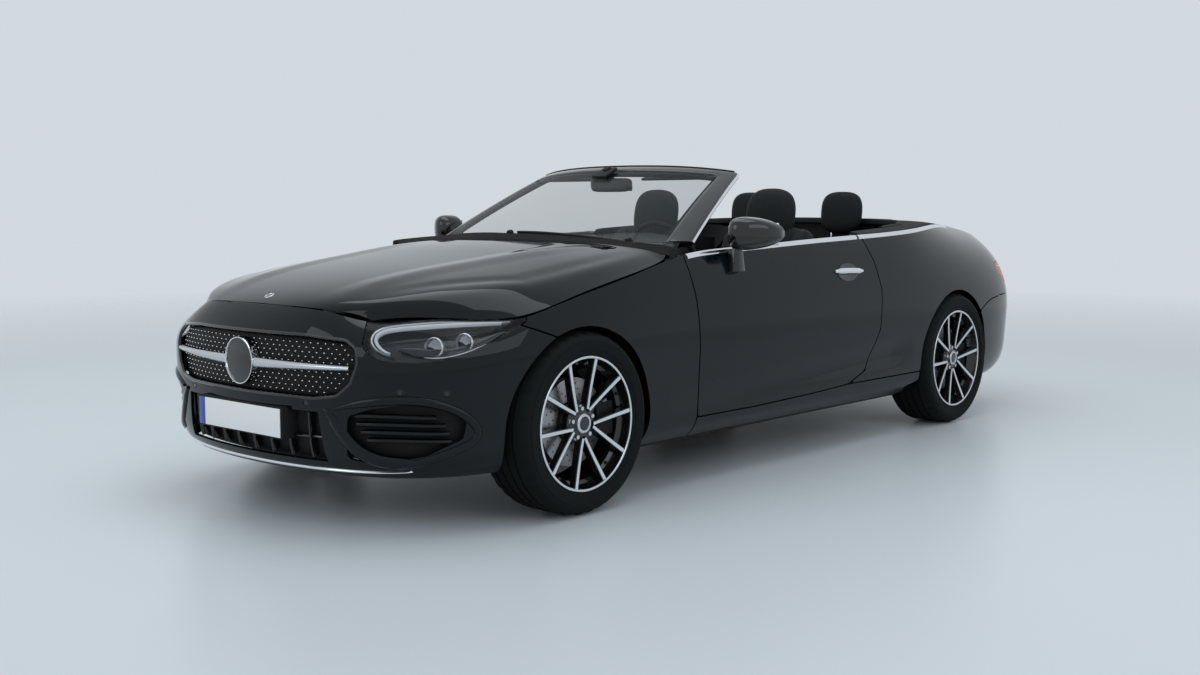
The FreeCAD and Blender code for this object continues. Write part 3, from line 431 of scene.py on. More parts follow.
class Skin:
    """A smooth surface through rows of points, the same as the body's own skin."""

    def __init__(self, rows: Sequence[Sequence[Point]], closed: bool,
                 relief: Optional[Callable[[np.ndarray], np.ndarray]] = None) -> None:
        """Keep the rows in metres and prepare their curves.

        Args:
            rows: the net in millimetres.
            closed: whether each row joins up.
            relief: how far creases stand out at given points, in metres.
        """
        self.rows = np.array(rows, float) / 1000
        self.closed = closed
        self.seconds = np.array([spline_seconds(row, closed) for row in self.rows])
        self.relief = relief

    @property
    def top(self) -> float:
        """The last position across the rows."""
        return float(len(self.rows) - 3)

    def flat(self, u: np.ndarray, v: np.ndarray) -> np.ndarray:
        """Points of the bare surface.

        Args:
            u: positions along the rows.
            v: positions across them.

        Returns:
            One point for each position.
        """
        count = self.rows.shape[1]
        if self.closed:
            u = np.mod(u, count)
        start = np.floor(np.clip(u, 0, None)).astype(int)
        start = start % count if self.closed else np.clip(start, 0, count - 2)
        after = (start + 1) % count
        t = (u - start)[None, :, None]
        a, b = self.rows[:, start], self.rows[:, after]
        ma, mb = self.seconds[:, start], self.seconds[:, after]
        curves = (1 - t) * a + t * b - t * (1 - t) / 6 * ((2 - t) * ma + (1 + t) * mb)
        return np.einsum("nr,rnk->nk", blend_weights(v, len(self.rows)), curves)

    def normal(self, u: np.ndarray, v: np.ndarray) -> np.ndarray:
        """Outward unit normals at positions on the surface."""
        step = 1e-3
        v0, v1 = np.clip(v - step, 0, self.top), np.clip(v + step, 0, self.top)
        along = self.flat(u + step, v) - self.flat(u - step, v)
        normal = np.cross(along, self.flat(u, v1) - self.flat(u, v0))
        return normal / np.linalg.norm(normal, axis=1, keepdims=True)

    def at(self, u: np.ndarray, v: np.ndarray, lift: float = 0.0) -> np.ndarray:
        """Points of the surface with its creases, raised by a lift."""
        points = self.flat(u, v)
        height = np.full(len(points), lift)
        if self.relief:
            height = height + self.relief(points)
        return points + self.normal(u, v) * height[:, None]

    def nearer(self, seen: Callable[[np.ndarray], np.ndarray], spots: np.ndarray,
               goals: np.ndarray) -> np.ndarray:
        """One step of positions towards where the surface is seen at given coordinates.

        Args:
            seen: turns points into pairs of coordinates.
            spots: the positions so far.
            goals: the coordinates.

        Returns:
            The better positions.
        """
        step = 1e-3
        back = np.where(spots[:, 1] > step, -step, step)
        now = seen(self.flat(spots[:, 0], spots[:, 1]))
        du = (seen(self.flat(spots[:, 0] + step, spots[:, 1])) - now) / step
        dv = (seen(self.flat(spots[:, 0], spots[:, 1] + back)) - now) / back[:, None]
        error = goals - now
        det = du[:, 0] * dv[:, 1] - du[:, 1] * dv[:, 0]
        det = np.where(np.abs(det) < 1e-6, np.inf, det)
        move = np.stack([error[:, 0] * dv[:, 1] - error[:, 1] * dv[:, 0],
                         du[:, 0] * error[:, 1] - du[:, 1] * error[:, 0]], 1) / det[:, None]
        spots = spots + np.clip(move, -0.3, 0.3)
        spots[:, 1] = np.clip(spots[:, 1], 0, self.top)
        return spots


# Outlines on the body, the same shut lines as the solids have

Outline = list[tuple[float, float]]
STATIONS = [
    ((2417, 0), (2342, 0, 779)), ((2406, 210), (2336, 190, 777)), ((2368, 430), (2302, 380, 765)),
    ((2298, 620), (2226, 520, 734)), ((2188, 760), (2130, 640, 741)), ((2046, 846), (1992, 756, 742)),
    ((1880, 890), (1850, 846, 739)), ((1700, 909), (1700, 868, 769)), ((1500, 918), (1500, 872, 816)),
    ((1200, 916), (1200, 866, 878)), ((880, 912), (890, 850, 939)), ((500, 914), (500, 846, 961)),
    ((0, 918), (0, 850, 981)), ((-500, 924), (-500, 852, 997)), ((-950, 931), (-950, 838, 1016)),
    ((-1350, 931), (-1350, 740, 1034)), ((-1700, 912), (-1690, 640, 1022)),
    ((-1980, 868), (-1960, 590, 996)), ((-2190, 790), (-2150, 560, 972)),
    ((-2330, 650), (-2280, 500, 956)), ((-2400, 430), (-2340, 360, 950)),
    ((-2422, 210), (-2362, 180, 948)), ((-2428, 0), (-2368, 0, 947)),
]
WAIST = 585
LOW_ROWS = [(200, 78, 62, 215), (232, 38, 24, 130), (310, 10, 8, 45), (430, 17, 4, 12)]
HIGH_ROWS = [(0.42, 0.10), (0.80, 0.50), (1.0, 1.0)]
BONNET = [
    [(2226, 520, 734), (2060, 708, 742), (1850, 846, 739), (1600, 871, 793), (1350, 869, 849),
     (1120, 861, 896), (1000, 842, 938)],
    [(2234, 498, 744), (2080, 676, 772), (1864, 806, 779), (1600, 830, 822), (1350, 829, 868),
     (1120, 823, 909), (1000, 806, 944)],
    [(2246, 462, 754), (2106, 622, 800), (1876, 752, 830), (1600, 778, 862), (1350, 782, 899),
     (1120, 778, 931), (1000, 766, 953)],
    [(2262, 430, 760), (2124, 566, 818), (1884, 690, 853), (1600, 718, 884), (1350, 724, 916),
     (1120, 722, 944), (1004, 712, 962)],
    [(2298, 335, 770), (2142, 405, 836), (1896, 470, 884), (1600, 505, 921), (1350, 520, 950),
     (1120, 530, 971), (1030, 532, 979)],
    [(2333, 180, 777), (2152, 200, 842), (1900, 235, 891), (1600, 262, 930), (1350, 275, 961),
     (1140, 282, 982), (1062, 284, 989)],
    [(2342, 0, 779), (2156, 0, 844), (1900, 0, 893), (1600, 0, 934), (1350, 0, 965),
     (1150, 0, 986), (1074, 0, 993)],
]
DECK = [
    [(-400, 851, 994), (-950, 838, 1016), (-1350, 740, 1034), (-1690, 640, 1022), (-1960, 590, 996),
     (-2150, 560, 972), (-2280, 500, 956)],
    [(-400, 800, 1012), (-950, 780, 1036), (-1350, 680, 1048), (-1690, 590, 1034), (-1960, 545, 1006),
     (-2156, 515, 979), (-2296, 455, 956)],
    [(-400, 560, 1016), (-950, 560, 1044), (-1350, 500, 1056), (-1690, 430, 1042), (-1970, 400, 1013),
     (-2170, 380, 984), (-2336, 350, 951)],
    [(-400, 280, 1018), (-950, 280, 1048), (-1350, 250, 1060), (-1690, 215, 1046), (-1980, 200, 1016),
     (-2180, 190, 986), (-2361, 175, 948)],
    [(-400, 0, 1018), (-950, 0, 1048), (-1350, 0, 1061), (-1690, 0, 1047), (-1980, 0, 1017),
     (-2184, 0, 987), (-2368, 0, 947)],
]
SCREEN_FOOT = [(992, 0, 990), (978, 270, 982), (925, 540, 966), (835, 745, 950)]
SCREEN_HEAD = [(350, 0, 1308), (338, 220, 1305), (300, 430, 1294), (238, 582, 1275)]
FENDER_DOOR = [(915, 1050), (913, 911), (887, 759), (871, 558), (867, 315), (864, 280)]
DOOR_FOOT = [(461, 280), (-9, 292), (-266, 304), (-417, 356)]
DOOR_REAR = [(-529, 543), (-540, 734), (-497, 869), (-400, 1050)]
DOOR = FENDER_DOOR + DOOR_FOOT + DOOR_REAR
FENDER = [(1862, 900), (1856, 735), (1838, 716), (1700, 668), (1552, 560), (1180, 180),
          (866, 180)] + FENDER_DOOR[::-1]
SILL = [(866, 150), (864, 280)] + DOOR_FOOT[:3] + [(-1040, 304), (-1040, 150)]
QUARTER = DOOR_REAR[::-1] + DOOR_FOOT[:1:-1] + [(-1040, 304), (-1552, 560), (-1690, 612), (-1760, 628),
                                               (-1930, 640), (-2500, 648), (-2500, 1200)]
LAMP = [(700, 842), (676, 657), (709, 622), (752, 612), (841, 603), (949, 612), (1046, 640),
        (1149, 682), (1237, 728), (1250, 842)]
TAIL_LAMP = [(655, 700), (700, 694), (1010, 700), (1075, 760), (1060, 812), (690, 836), (650, 812)]
GRILLE = [(560, 600), (548, 650), (500, 678), (330, 690), (-330, 690), (-500, 678), (-548, 650),
          (-560, 600), (-535, 530), (-480, 484), (-380, 470), (380, 470), (480, 484), (535, 530)]
INTAKE = [(420, 250), (400, 425), (-400, 425), (-420, 250)]
SIDE_INTAKE = [(500, 262), (520, 420), (700, 462), (800, 440), (800, 330), (640, 262)]
LID_TAIL = [(500, 1000), (540, 700), (470, 660), (-470, 660), (-540, 700), (-500, 1000)]
CABIN = [(-300, 790), (-760, 775), (-1020, 735), (-1180, 640), (-1235, 480), (-1235, -480),
         (-1180, -640), (-1020, -735), (-760, -775), (-300, -790)]
SIDE_OPENING = [(505, 268), (512, 350), (520, 418), (600, 446), (700, 464), (788, 452), (824, 400), (818, 340), (745, 286),
                (650, 262), (570, 258)]
SHUT = 3.0
LID_GAP = 9.0
AXLES = ((1552, 322), (-1313, 322))
ARCH_RADIUS = 375
PILLAR_FOOT = 0.988
LID_SPLIT = -1480


def wrap_net() -> list[list[Point]]:
    """Rows of points round the whole car from the sill up, each from the nose round by the left."""
    half = len(STATIONS) - 1
    order = list(range(half + 1)) + list(range(half - 1, 0, -1))
    side = [1] * (half + 1) + [-1] * (half - 1)
    plan = np.array([(STATIONS[i][0][0], s * STATIONS[i][0][1]) for i, s in zip(order, side)], float)
    top = np.array([(STATIONS[i][1][0], s * STATIONS[i][1][1], STATIONS[i][1][2])
                    for i, s in zip(order, side)], float)
    step = np.roll(plan, -1, 0) - np.roll(plan, 1, 0)
    step /= np.linalg.norm(step, axis=1, keepdims=True)
    inward = np.stack([-step[:, 1], step[:, 0]], 1)
    rows = []
    for z, side_in, nose_in, tail_in in LOW_ROWS:
        ends = np.where(plan[:, 0] > 0, nose_in, tail_in)
        drawn = ends * inward[:, 0] ** 2 + side_in * inward[:, 1] ** 2
        rows.append([(x, y, z) for x, y in plan + inward * drawn[:, None]])
    waist = np.column_stack([plan, np.full(len(plan), WAIST)])
    rows.append([tuple(p) for p in waist])
    for rise, lean in HIGH_ROWS:
        line = waist + (top - waist) * np.array([lean, lean, 0])
        line[:, 2] = WAIST + rise * (top[:, 2] - WAIST)
        rows.append([tuple(p) for p in line])
    return rows


def both_halves(columns: Sequence[Sequence[Point]]) -> list[list[Point]]:
    """A net from columns on the left side, with the right side added."""
    return [list(c) for c in columns] + [[(x, -y, z) for x, y, z in c] for c in columns[-2::-1]]


def drawn_in(rows: Sequence[Sequence[Point]], gap: float) -> list[list[Point]]:
    """A net whose outer border is moved inwards by a gap.

    Args:
        rows: the net.
        gap: how far in millimetres.

    Returns:
        The smaller net.
    """
    net = np.array(rows, float)

    def nearer(edge: np.ndarray, inner: np.ndarray) -> np.ndarray:
        """Edge points moved towards the inner ones."""
        way = inner - edge
        return edge + way / np.linalg.norm(way, axis=-1, keepdims=True) * gap

    for edge, inner in ((0, 1), (-1, -2)):
        net[edge] = nearer(net[edge], net[inner])
    for edge, inner in ((0, 1), (-1, -2)):
        net[:, edge] = nearer(net[:, edge], net[:, inner])
    return net.tolist()


def screen_net(across: float, up: float) -> list[list[Point]]:
    """The windscreen's net, widened past the glass edge by shares of its width and height."""
    foot, head = np.array(SCREEN_FOOT, float), np.array(SCREEN_HEAD, float)
    for line in (foot, head):
        line[-1] += (line[-1] - line[-2]) * across * 3
    rows = []
    for step in (0, 0.33, 0.67, 1.0):
        share = -up + step * (1 + 2 * up)
        bulge = np.array([0.45, 0, 0.9]) * 16 * 4 * share * (1 - share)
        half = foot + (head - foot) * share + bulge
        rows.append([tuple(p) for p in half[::-1]] + [(x, -y, z) for x, y, z in half[1:]])
    return rows


def inset(points: Outline, gap: float) -> Outline:
    """A closed outline moved inwards by a gap on every side, or outwards where the gap is negative."""
    line = np.array(points, float)
    back, on = line - np.roll(line, 1, 0), np.roll(line, -1, 0) - line
    area = float(np.sum(line[:, 0] * np.roll(line, -1, 0)[:, 1] - np.roll(line, -1, 0)[:, 0] * line[:, 1]))
    turn = 1 if area > 0 else -1
    back /= np.linalg.norm(back, axis=1, keepdims=True)
    on /= np.linalg.norm(on, axis=1, keepdims=True)
    n1 = np.stack([-back[:, 1], back[:, 0]], 1) * turn
    n2 = np.stack([-on[:, 1], on[:, 0]], 1) * turn
    scale = gap / (1 + np.sum(n1 * n2, 1))
    return [tuple(p) for p in line + (n1 + n2) * scale[:, None]]


def rounded(points: Outline, radius: float, steps: int = 5) -> Outline:
    """A closed outline with its sharp corners rounded.

    Args:
        points: the outline.
        radius: the corners' radius, less where an edge is short.
        steps: points on each corner.

    Returns:
        The rounded outline.
    """
    line = np.array(points, float)
    result = []
    for i, corner in enumerate(line):
        before, after = line[i - 1] - corner, line[(i + 1) % len(line)] - corner
        la, lb = np.linalg.norm(before), np.linalg.norm(after)
        bend = math.pi - math.acos(np.clip(before @ after / la / lb, -1, 1))
        cut = min(radius * math.tan(bend / 2), la * 0.45, lb * 0.45)
        if bend < 0.15:
            result.append(tuple(corner))
            continue
        a, b = corner + before / la * cut, corner + after / lb * cut
        for t in np.linspace(0, 1, steps):
            result.append(tuple((1 - t) ** 2 * a + 2 * t * (1 - t) * corner + t * t * b))
    return result


class View(Enum):
    """From where an outline is seen, and which flat coordinates it has."""

    SIDE = "x, z"
    FRONT = "y, z"
    NOSE_CORNER = "s, z at a front corner"
    TAIL_CORNER = "s, z at a rear corner"
    TOP = "x, y"

    def flat(self, points: np.ndarray) -> np.ndarray:
        """Points in metres as pairs of the view's coordinates in millimetres."""
        x, y, z = points[:, 0] * 1000, points[:, 1] * 1000, points[:, 2] * 1000
        if self is View.SIDE:
            return np.stack([x, z], 1)
        if self is View.FRONT:
            return np.stack([y, z], 1)
        if self is View.TOP:
            return np.stack([x, y], 1)
        end = 1 if self is View.NOSE_CORNER else -1
        return np.stack([(np.abs(y) - end * x + 2700) / math.sqrt(2), z], 1)


@dataclass(frozen=True)
class Limit:
    """An outline that a panel keeps inside of, or outside of."""

    view: View
    points: tuple
    inside: bool = True
    corners: bool = True

    def reach(self, points: np.ndarray) -> np.ndarray:
        """How far points are on the allowed side, in metres.

        Args:
            points: points in metres.

        Returns:
            Positive where the panel may be.
        """
        flat = self.view.flat(points)
        line = np.array(self.points, float)
        after = np.roll(line, -1, 0)
        best = np.full(len(flat), 1e9)
        odd = np.zeros(len(flat), bool)
        for a, b in zip(line, after):
            way = b - a
            share = np.clip(((flat - a) @ way) / (way @ way), 0, 1)
            best = np.minimum(best, np.linalg.norm(flat - a - share[:, None] * way, axis=1))
            if a[1] != b[1]:
                cross = (a[1] > flat[:, 1]) != (b[1] > flat[:, 1])
                odd ^= cross & (flat[:, 0] < (b[0] - a[0]) * (flat[:, 1] - a[1]) / (b[1] - a[1]) + a[0])
        return np.where(odd == self.inside, best, -best) / 1000


@dataclass(frozen=True)
class Arch:
    """A wheel opening that a panel keeps outside of."""

    x: float
    z: float
    radius: float = ARCH_RADIUS
    corners: bool = False

    def reach(self, points: np.ndarray) -> np.ndarray:
        """How far points are outside the opening, in metres."""
        return np.hypot(points[:, 0] - self.x / 1000, points[:, 2] - self.z / 1000) - self.radius / 1000


def outline(view: View, points: Outline, inside: bool = True, gap: float = 0.0) -> Limit:
    """A Limit whose outline is first moved inwards by a gap."""
    return Limit(view, tuple(inset(points, gap) if gap else points), inside)


ARCHES = [Arch(*AXLES[0]), Arch(*AXLES[1])]


# Mesh making

@dataclass
class Model:
    """A mesh that is being modelled, with its finishes."""

    name: str
    looks: tuple
    bm: bmesh.types.BMesh = field(default_factory=bmesh.new)

    def keep(self) -> None:
        """Mark the vertices there are, so that later ones can be told apart."""
        marks = self.bm.verts.layers.int
        mark = marks.get("old") or marks.new("old")
        for v in self.bm.verts:
            v[mark] = 1

    def fresh(self) -> list:
        """The vertices made since the last mark."""
        mark = self.bm.verts.layers.int["old"]
        return [v for v in self.bm.verts if not v[mark]]

    def faces_of(self, verts: Iterable[bmesh.types.BMVert]) -> list:
        """The faces whose corners are all among some vertices."""
        chosen = set(verts)
        return [f for f in {f for v in chosen for f in v.link_faces} if all(v in chosen for v in f.verts)]

    def paint(self, faces: Iterable[bmesh.types.BMFace], index: int) -> None:
        """Give faces one of the finishes."""
        for face in faces:
            face.material_index = index

    def bevel(self, edges: Iterable[bmesh.types.BMEdge], width: float, segments: int = 2) -> list:
        """Round some edges.

        Args:
            edges: the edges.
            width: the bevel's width in metres.
            segments: how many faces it has across.

        Returns:
            The new faces.
        """
        return bmesh.ops.bevel(self.bm, geom=list(edges), offset=width, offset_type="OFFSET",
                               segments=segments, profile=0.5, affect="EDGES", clamp_overlap=True,
                               material=-1)["faces"]

    def block(self, centre: Sequence[float], size: Sequence[float], turn: Optional[Matrix] = None,
              bevel: float = 0.0, index: int = 0, segments: int = 2, taper: float = 1.0) -> list:
        """A block with rounded edges.

        Args:
            centre: its middle.
            size: its length along x, y and z before it is turned.
            turn: a rotation.
            bevel: the rounding.
            index: its finish.
            segments: faces across the rounding.
            taper: how much narrower its top is.

        Returns:
            Its vertices.
        """
        self.keep()
        made = bmesh.ops.create_cube(self.bm, size=1.0)["verts"]
        for v in made:
            shrink = taper if v.co.z > 0 else 1.0
            v.co = Vector((v.co.x * size[0] * shrink, v.co.y * size[1] * shrink, v.co.z * size[2]))
        if bevel:
            self.bevel({e for v in made for e in v.link_edges}, bevel, segments)
        made = self.fresh()
        move = Matrix.Translation(centre) @ (turn.to_4x4() if turn else Matrix.Identity(4))
        bmesh.ops.transform(self.bm, matrix=move, verts=made)
        self.paint(self.faces_of(made), index)
        return made

    def pillow(self, centre: Sequence[float], size: Sequence[float], turn: Matrix, index: int = 0,
               power: float = 4.0, cuts: int = 7) -> list:
        """A soft block, rounded on every side.

        Args:
            centre: its middle.
            size: its length along x, y and z before it is turned.
            turn: a rotation.
            index: its finish.
            power: how close it is to a block.
            cuts: lines across each side.

        Returns:
            Its vertices.
        """
        self.keep()
        made = bmesh.ops.create_cube(self.bm, size=2.0)["verts"]
        bmesh.ops.subdivide_edges(self.bm, edges=list({e for v in made for e in v.link_edges}), cuts=cuts,
                                  use_grid_fill=True)
        made = self.fresh()
        for v in made:
            shrink = sum(abs(c) ** power for c in v.co) ** (-1 / power)
            v.co = Vector(centre) + turn @ Vector([c * shrink * s / 2 for c, s in zip(v.co, size)])
        faces = self.faces_of(made)
        bmesh.ops.recalc_face_normals(self.bm, faces=faces)
        self.paint(faces, index)
        return made

    def lathe(self, profile: Sequence[tuple[float, float]], centre: Sequence[float], steps: int = 48,
              axis: Sequence[float] = (0, 1, 0), index: int = 0) -> list:
        """A profile of (radius, height) spun round an axis.

        Args:
            profile: radius and place along the axis.
            centre: a point on the axis.
            steps: how many steps round.
            axis: the axis' direction.
            index: its finish.

        Returns:
            Its vertices.
        """
        up = Vector(axis).normalized()
        out = up.orthogonal().normalized()
        middle = Vector(centre)
        self.keep()
        verts = [self.bm.verts.new(middle + out * r + up * h) for r, h in profile]
        edges = [self.bm.edges.new(pair) for pair in zip(verts, verts[1:])]
        bmesh.ops.spin(self.bm, geom=verts + edges, cent=middle, axis=up, angle=math.tau, steps=steps,
                       use_merge=True)
        near = [v for v in self.fresh() if (v.co - middle).cross(up).length < 1e-6]
        bmesh.ops.remove_doubles(self.bm, verts=near, dist=1e-5)
        made = self.fresh()
        faces = self.faces_of(made)
        bmesh.ops.recalc_face_normals(self.bm, faces=faces)
        self.paint(faces, index)
        return made

    def loft(self, sections: Sequence[Sequence[Sequence[float]]], closed: bool = True, caps: bool = True,
             index: int = 0) -> list:
        """A skin extruded from one section to the next.

        Args:
            sections: lines of points, all with the same count.
            closed: whether each section is a ring.
            caps: whether the first and last ring are filled.
            index: its finish.

        Returns:
            Its vertices.
        """
        line = [self.bm.verts.new(p) for p in sections[0]]
        pairs = list(zip(line, line[1:])) + ([(line[-1], line[0])] if closed else [])
        edges = [self.bm.edges.new(pair) for pair in pairs]
        made, first = list(line), list(line)
        for section in sections[1:]:
            grown = bmesh.ops.extrude_edge_only(self.bm, edges=edges)["geom"]
            new = {v for v in grown if isinstance(v, bmesh.types.BMVert)}
            edges = [e for e in grown if isinstance(e, bmesh.types.BMEdge)]
            after = []
            for old, place in zip(line, section):
                other = next(e.other_vert(old) for e in old.link_edges if e.other_vert(old) in new)
                other.co = place
                after.append(other)
            line = after
            made += after
        faces = self.faces_of(made)
        if closed and caps:
            faces += [self.bm.faces.new(first), self.bm.faces.new(line)]
        if closed:
            bmesh.ops.recalc_face_normals(self.bm, faces=faces)
        self.paint(faces, index)
        return made

    def strip(self, path: np.ndarray, normals: np.ndarray, width: float, thick: float, index: int = 0,
              ends: float = 1.0) -> list:
        """A flat bar with a rounded back along a path.

        Args:
            path: points along its middle.
            normals: the way its face looks at each point.
            width: across the path.
            thick: how far it stands up and down.
            index: its finish.
            ends: its width at the ends as a share.

        Returns:
            Its vertices.
        """
        path, normals = np.asarray(path, float), np.asarray(normals, float)
        along = np.gradient(path, axis=0)
        along /= np.linalg.norm(along, axis=1, keepdims=True)
        across = np.cross(along, normals)
        across /= np.linalg.norm(across, axis=1, keepdims=True)
        shape = [(-0.5, -1), (-0.5, 0.2), (-0.32, 0.8), (0, 1), (0.32, 0.8), (0.5, 0.2), (0.5, -1)]
        sections = []
        for i, (p, n, a) in enumerate(zip(path, normals, across)):
            t = i / (len(path) - 1)
            scale = ends + (1 - ends) * min(1.0, min(t, 1 - t) * 6)
            sections.append([p + a * s * width * scale + n * h * thick for s, h in shape])
        return self.loft(sections, index=index)

    def mirror(self) -> None:
        """Add the same shape on the other side of the car."""
        bm = self.bm
        copied = bmesh.ops.duplicate(bm, geom=bm.verts[:] + bm.edges[:] + bm.faces[:])["geom"]
        verts = [g for g in copied if isinstance(g, bmesh.types.BMVert)]
        faces = [g for g in copied if isinstance(g, bmesh.types.BMFace)]
        bmesh.ops.scale(bm, vec=(1, -1, 1), verts=verts)
        bmesh.ops.reverse_faces(bm, faces=faces)

    def done(self, body: str, smooth: bool = True, sharp: float = 40.0) -> bpy.types.Object:
        """Turn the model into a finished piece.

        Args:
            body: the body that it rides on.
            smooth: whether it is shaded smooth.
            sharp: the angle in degrees past which an edge stays sharp.

        Returns:
            The new object.
        """
        mesh = bpy.data.meshes.new(self.name)
        for edge in self.bm.edges:
            edge.smooth = not (len(edge.link_faces) == 2 and
                               edge.calc_face_angle(0.0) > math.radians(sharp))
        for face in self.bm.faces:
            face.smooth = smooth
        for mark in self.bm.verts.layers.int.values():
            self.bm.verts.layers.int.remove(mark)
        self.bm.to_mesh(mesh)
        self.bm.free()
        piece = bpy.data.objects.new(self.name, mesh)
        for look in self.looks:
            mesh.materials.append(look.material())
        bpy.context.scene.collection.objects.link(piece)
        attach(piece, body)
        LOG.info("%s: %d faces", self.name, len(mesh.polygons))
        return piece


def other_side(piece: bpy.types.Object, name: str, body: str) -> bpy.types.Object:
    """The mirror image of a piece, on the car's other side.

    Args:
        piece: the piece on the left.
        name: the new piece's name.
        body: the body that it rides on.

    Returns:
        The new object, with the same modifiers.
    """
    copy = piece.copy()
    copy.data = piece.data.copy()
    copy.name = copy.data.name = name
    bm = bmesh.new()
    bm.from_mesh(copy.data)
    bmesh.ops.scale(bm, vec=(1, -1, 1), verts=bm.verts[:])
    bmesh.ops.reverse_faces(bm, faces=bm.faces[:])
    bm.to_mesh(copy.data)
    bm.free()
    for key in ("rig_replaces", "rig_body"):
        if key in copy:
            del copy[key]
    bpy.context.scene.collection.objects.link(copy)
    copy.parent = None
    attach(copy, body)
    return copy


def wall(piece: bpy.types.Object, thick: float, edge: float = 0.0012, inner: int = 0) -> bpy.types.Object:
    """Give a skin its wall and its small rounded edge.

    Args:
        piece: the skin.
        thick: the wall, inwards.
        edge: the rounding of its border.
        inner: how many finishes further on the inner side's finish is.

    Returns:
        The same piece.
    """
    solid = piece.modifiers.new("wall", "SOLIDIFY")
    solid.thickness = thick
    solid.offset = -1
    solid.use_even_offset = True
    solid.material_offset = inner
    if edge:
        bevel = piece.modifiers.new("edge", "BEVEL")
        bevel.width = edge
        bevel.segments = 2
        bevel.limit_method = "ANGLE"
        bevel.angle_limit = math.radians(55)
        bevel.harden_normals = True
    return piece


@dataclass
class Panel:
    """A stretch of skin cut to its outlines."""

    skin: Skin
    limits: Sequence[object]
    u_range: tuple[float, float]
    v_range: tuple[float, float]
    cell: float = 0.014
    lift: float = 0.0

    def spread(self, low: float, high: float, along: bool) -> np.ndarray:
        """Positions a cell apart along or across the middle of the range.

        Args:
            low: the first position.
            high: the last one.
            along: whether they run along the rows.

        Returns:
            The positions.
        """
        fine = np.linspace(low, high, 800)
        best = None
        for share in (0.2, 0.5, 0.8):
            other = (self.v_range if along else self.u_range)
            fixed = np.full_like(fine, other[0] + (other[1] - other[0]) * share)
            points = self.skin.flat(*((fine, fixed) if along else (fixed, fine)))
            length = np.concatenate([[0], np.cumsum(np.linalg.norm(np.diff(points, axis=0), axis=1))])
            best = length if best is None or length[-1] > best[-1] else best
        count = max(3, int(best[-1] / self.cell) + 1)
        return np.interp(np.linspace(0, best[-1], count), best, fine)

    def reach(self, place: np.ndarray) -> np.ndarray:
        """How far inside all the outlines positions are."""
        points = self.skin.flat(place[:, 0], place[:, 1])
        return np.min([limit.reach(points) for limit in self.limits], axis=0)

    def cross(self, inner: np.ndarray, outer: np.ndarray) -> np.ndarray:
        """Where the border crosses lines between positions inside and outside."""
        low, high = inner.copy(), outer.copy()
        for _ in range(16):
            middle = (low + high) / 2
            good = self.reach(middle) > 0
            low[good] = middle[good]
            high[~good] = middle[~good]
        return (low + high) / 2

    def corner(self, place: np.ndarray, limit: Limit, goal: np.ndarray) -> np.ndarray:
        """Move a position to where an outline's corner falls on the skin."""
        place = place.astype(float).copy()
        step = 1e-3
        for _ in range(12):
            probe = np.array([place, place + (step, 0), place - (0, step)])
            flat = limit.view.flat(self.skin.flat(probe[:, 0], probe[:, 1]))
            slope = np.stack([(flat[1] - flat[0]) / step, (flat[0] - flat[2]) / step], 1)
            if abs(np.linalg.det(slope)) < 1e-6:
                break
            place += np.clip(np.linalg.solve(slope, goal - flat[0]), -0.3, 0.3)
        return place

    def build(self, name: str, look: Look, body: str, extra: tuple = ()) -> bpy.types.Object:
        """Cut the panel from its skin.

        Args:
            name: the piece's name.
            look: its finish.
            body: the body that it rides on.
            extra: more finishes.

        Returns:
            The new piece.
        """
        us, vs = self.spread(*self.u_range, True), self.spread(*self.v_range, False)
        nu, nv = len(us), len(vs)
        place = np.stack(np.meshgrid(us, vs), -1)
        flat = place.reshape(-1, 2)
        reach = self.reach(flat).reshape(nv, nu) if self.limits else np.ones((nv, nu))
        moved, shift = place.copy(), np.full((nv, nu), 1e9)
        on = np.zeros((nv, nu), bool)
        for dj, di in ((0, 1), (1, 0)):
            a = reach[:nv - dj, :nu - di]
            b = reach[dj:, di:]
            js, iz = np.nonzero((a > 0) != (b > 0))
            if not len(js):
                continue
            first, second = np.stack([js, iz], 1), np.stack([js + dj, iz + di], 1)
            flip = reach[js, iz] <= 0
            inner, outer = np.where(flip[:, None], second, first), np.where(flip[:, None], first, second)
            pi, po = place[inner[:, 0], inner[:, 1]], place[outer[:, 0], outer[:, 1]]
            hit = self.cross(pi, po)
            share = np.linalg.norm(hit - pi, axis=1) / np.linalg.norm(po - pi, axis=1)
            for (ij, oj, s, h) in zip(inner, outer, share, hit):
                j, i = ij if s <= 0.5 else oj
                move = min(s, 1 - s)
                if move < shift[j, i]:
                    shift[j, i], moved[j, i], on[j, i] = move, h, True
        self.sharpen(moved, on)
        points = self.skin.at(moved[..., 0].ravel(), moved[..., 1].ravel(), self.lift)
        model = Model(name, (look, *extra))
        bmesh.ops.create_grid(model.bm, x_segments=nu - 1, y_segments=nv - 1, size=0.5)
        model.bm.verts.ensure_lookup_table()
        verts = np.empty((nv, nu), object)
        for v in model.bm.verts:
            i, j = round((v.co.x + 0.5) * (nu - 1)), round((v.co.y + 0.5) * (nv - 1))
            verts[j, i] = v
            v.co = points[j * nu + i]
        self.trim(model, verts, on, reach, moved)
        model.bm.normal_update()
        sample = next(iter(model.bm.faces), None)
        if sample is not None:
            j, i = np.unravel_index(np.argmax(reach), reach.shape)
            want = self.skin.normal(np.array([place[j, i, 0]]), np.array([place[j, i, 1]]))[0]
            face = verts[j, i].link_faces[0] if verts[j, i].link_faces else sample
            if face.normal @ Vector(want) < 0:
                bmesh.ops.reverse_faces(model.bm, faces=model.bm.faces[:])
        return model.done(body, sharp=180)

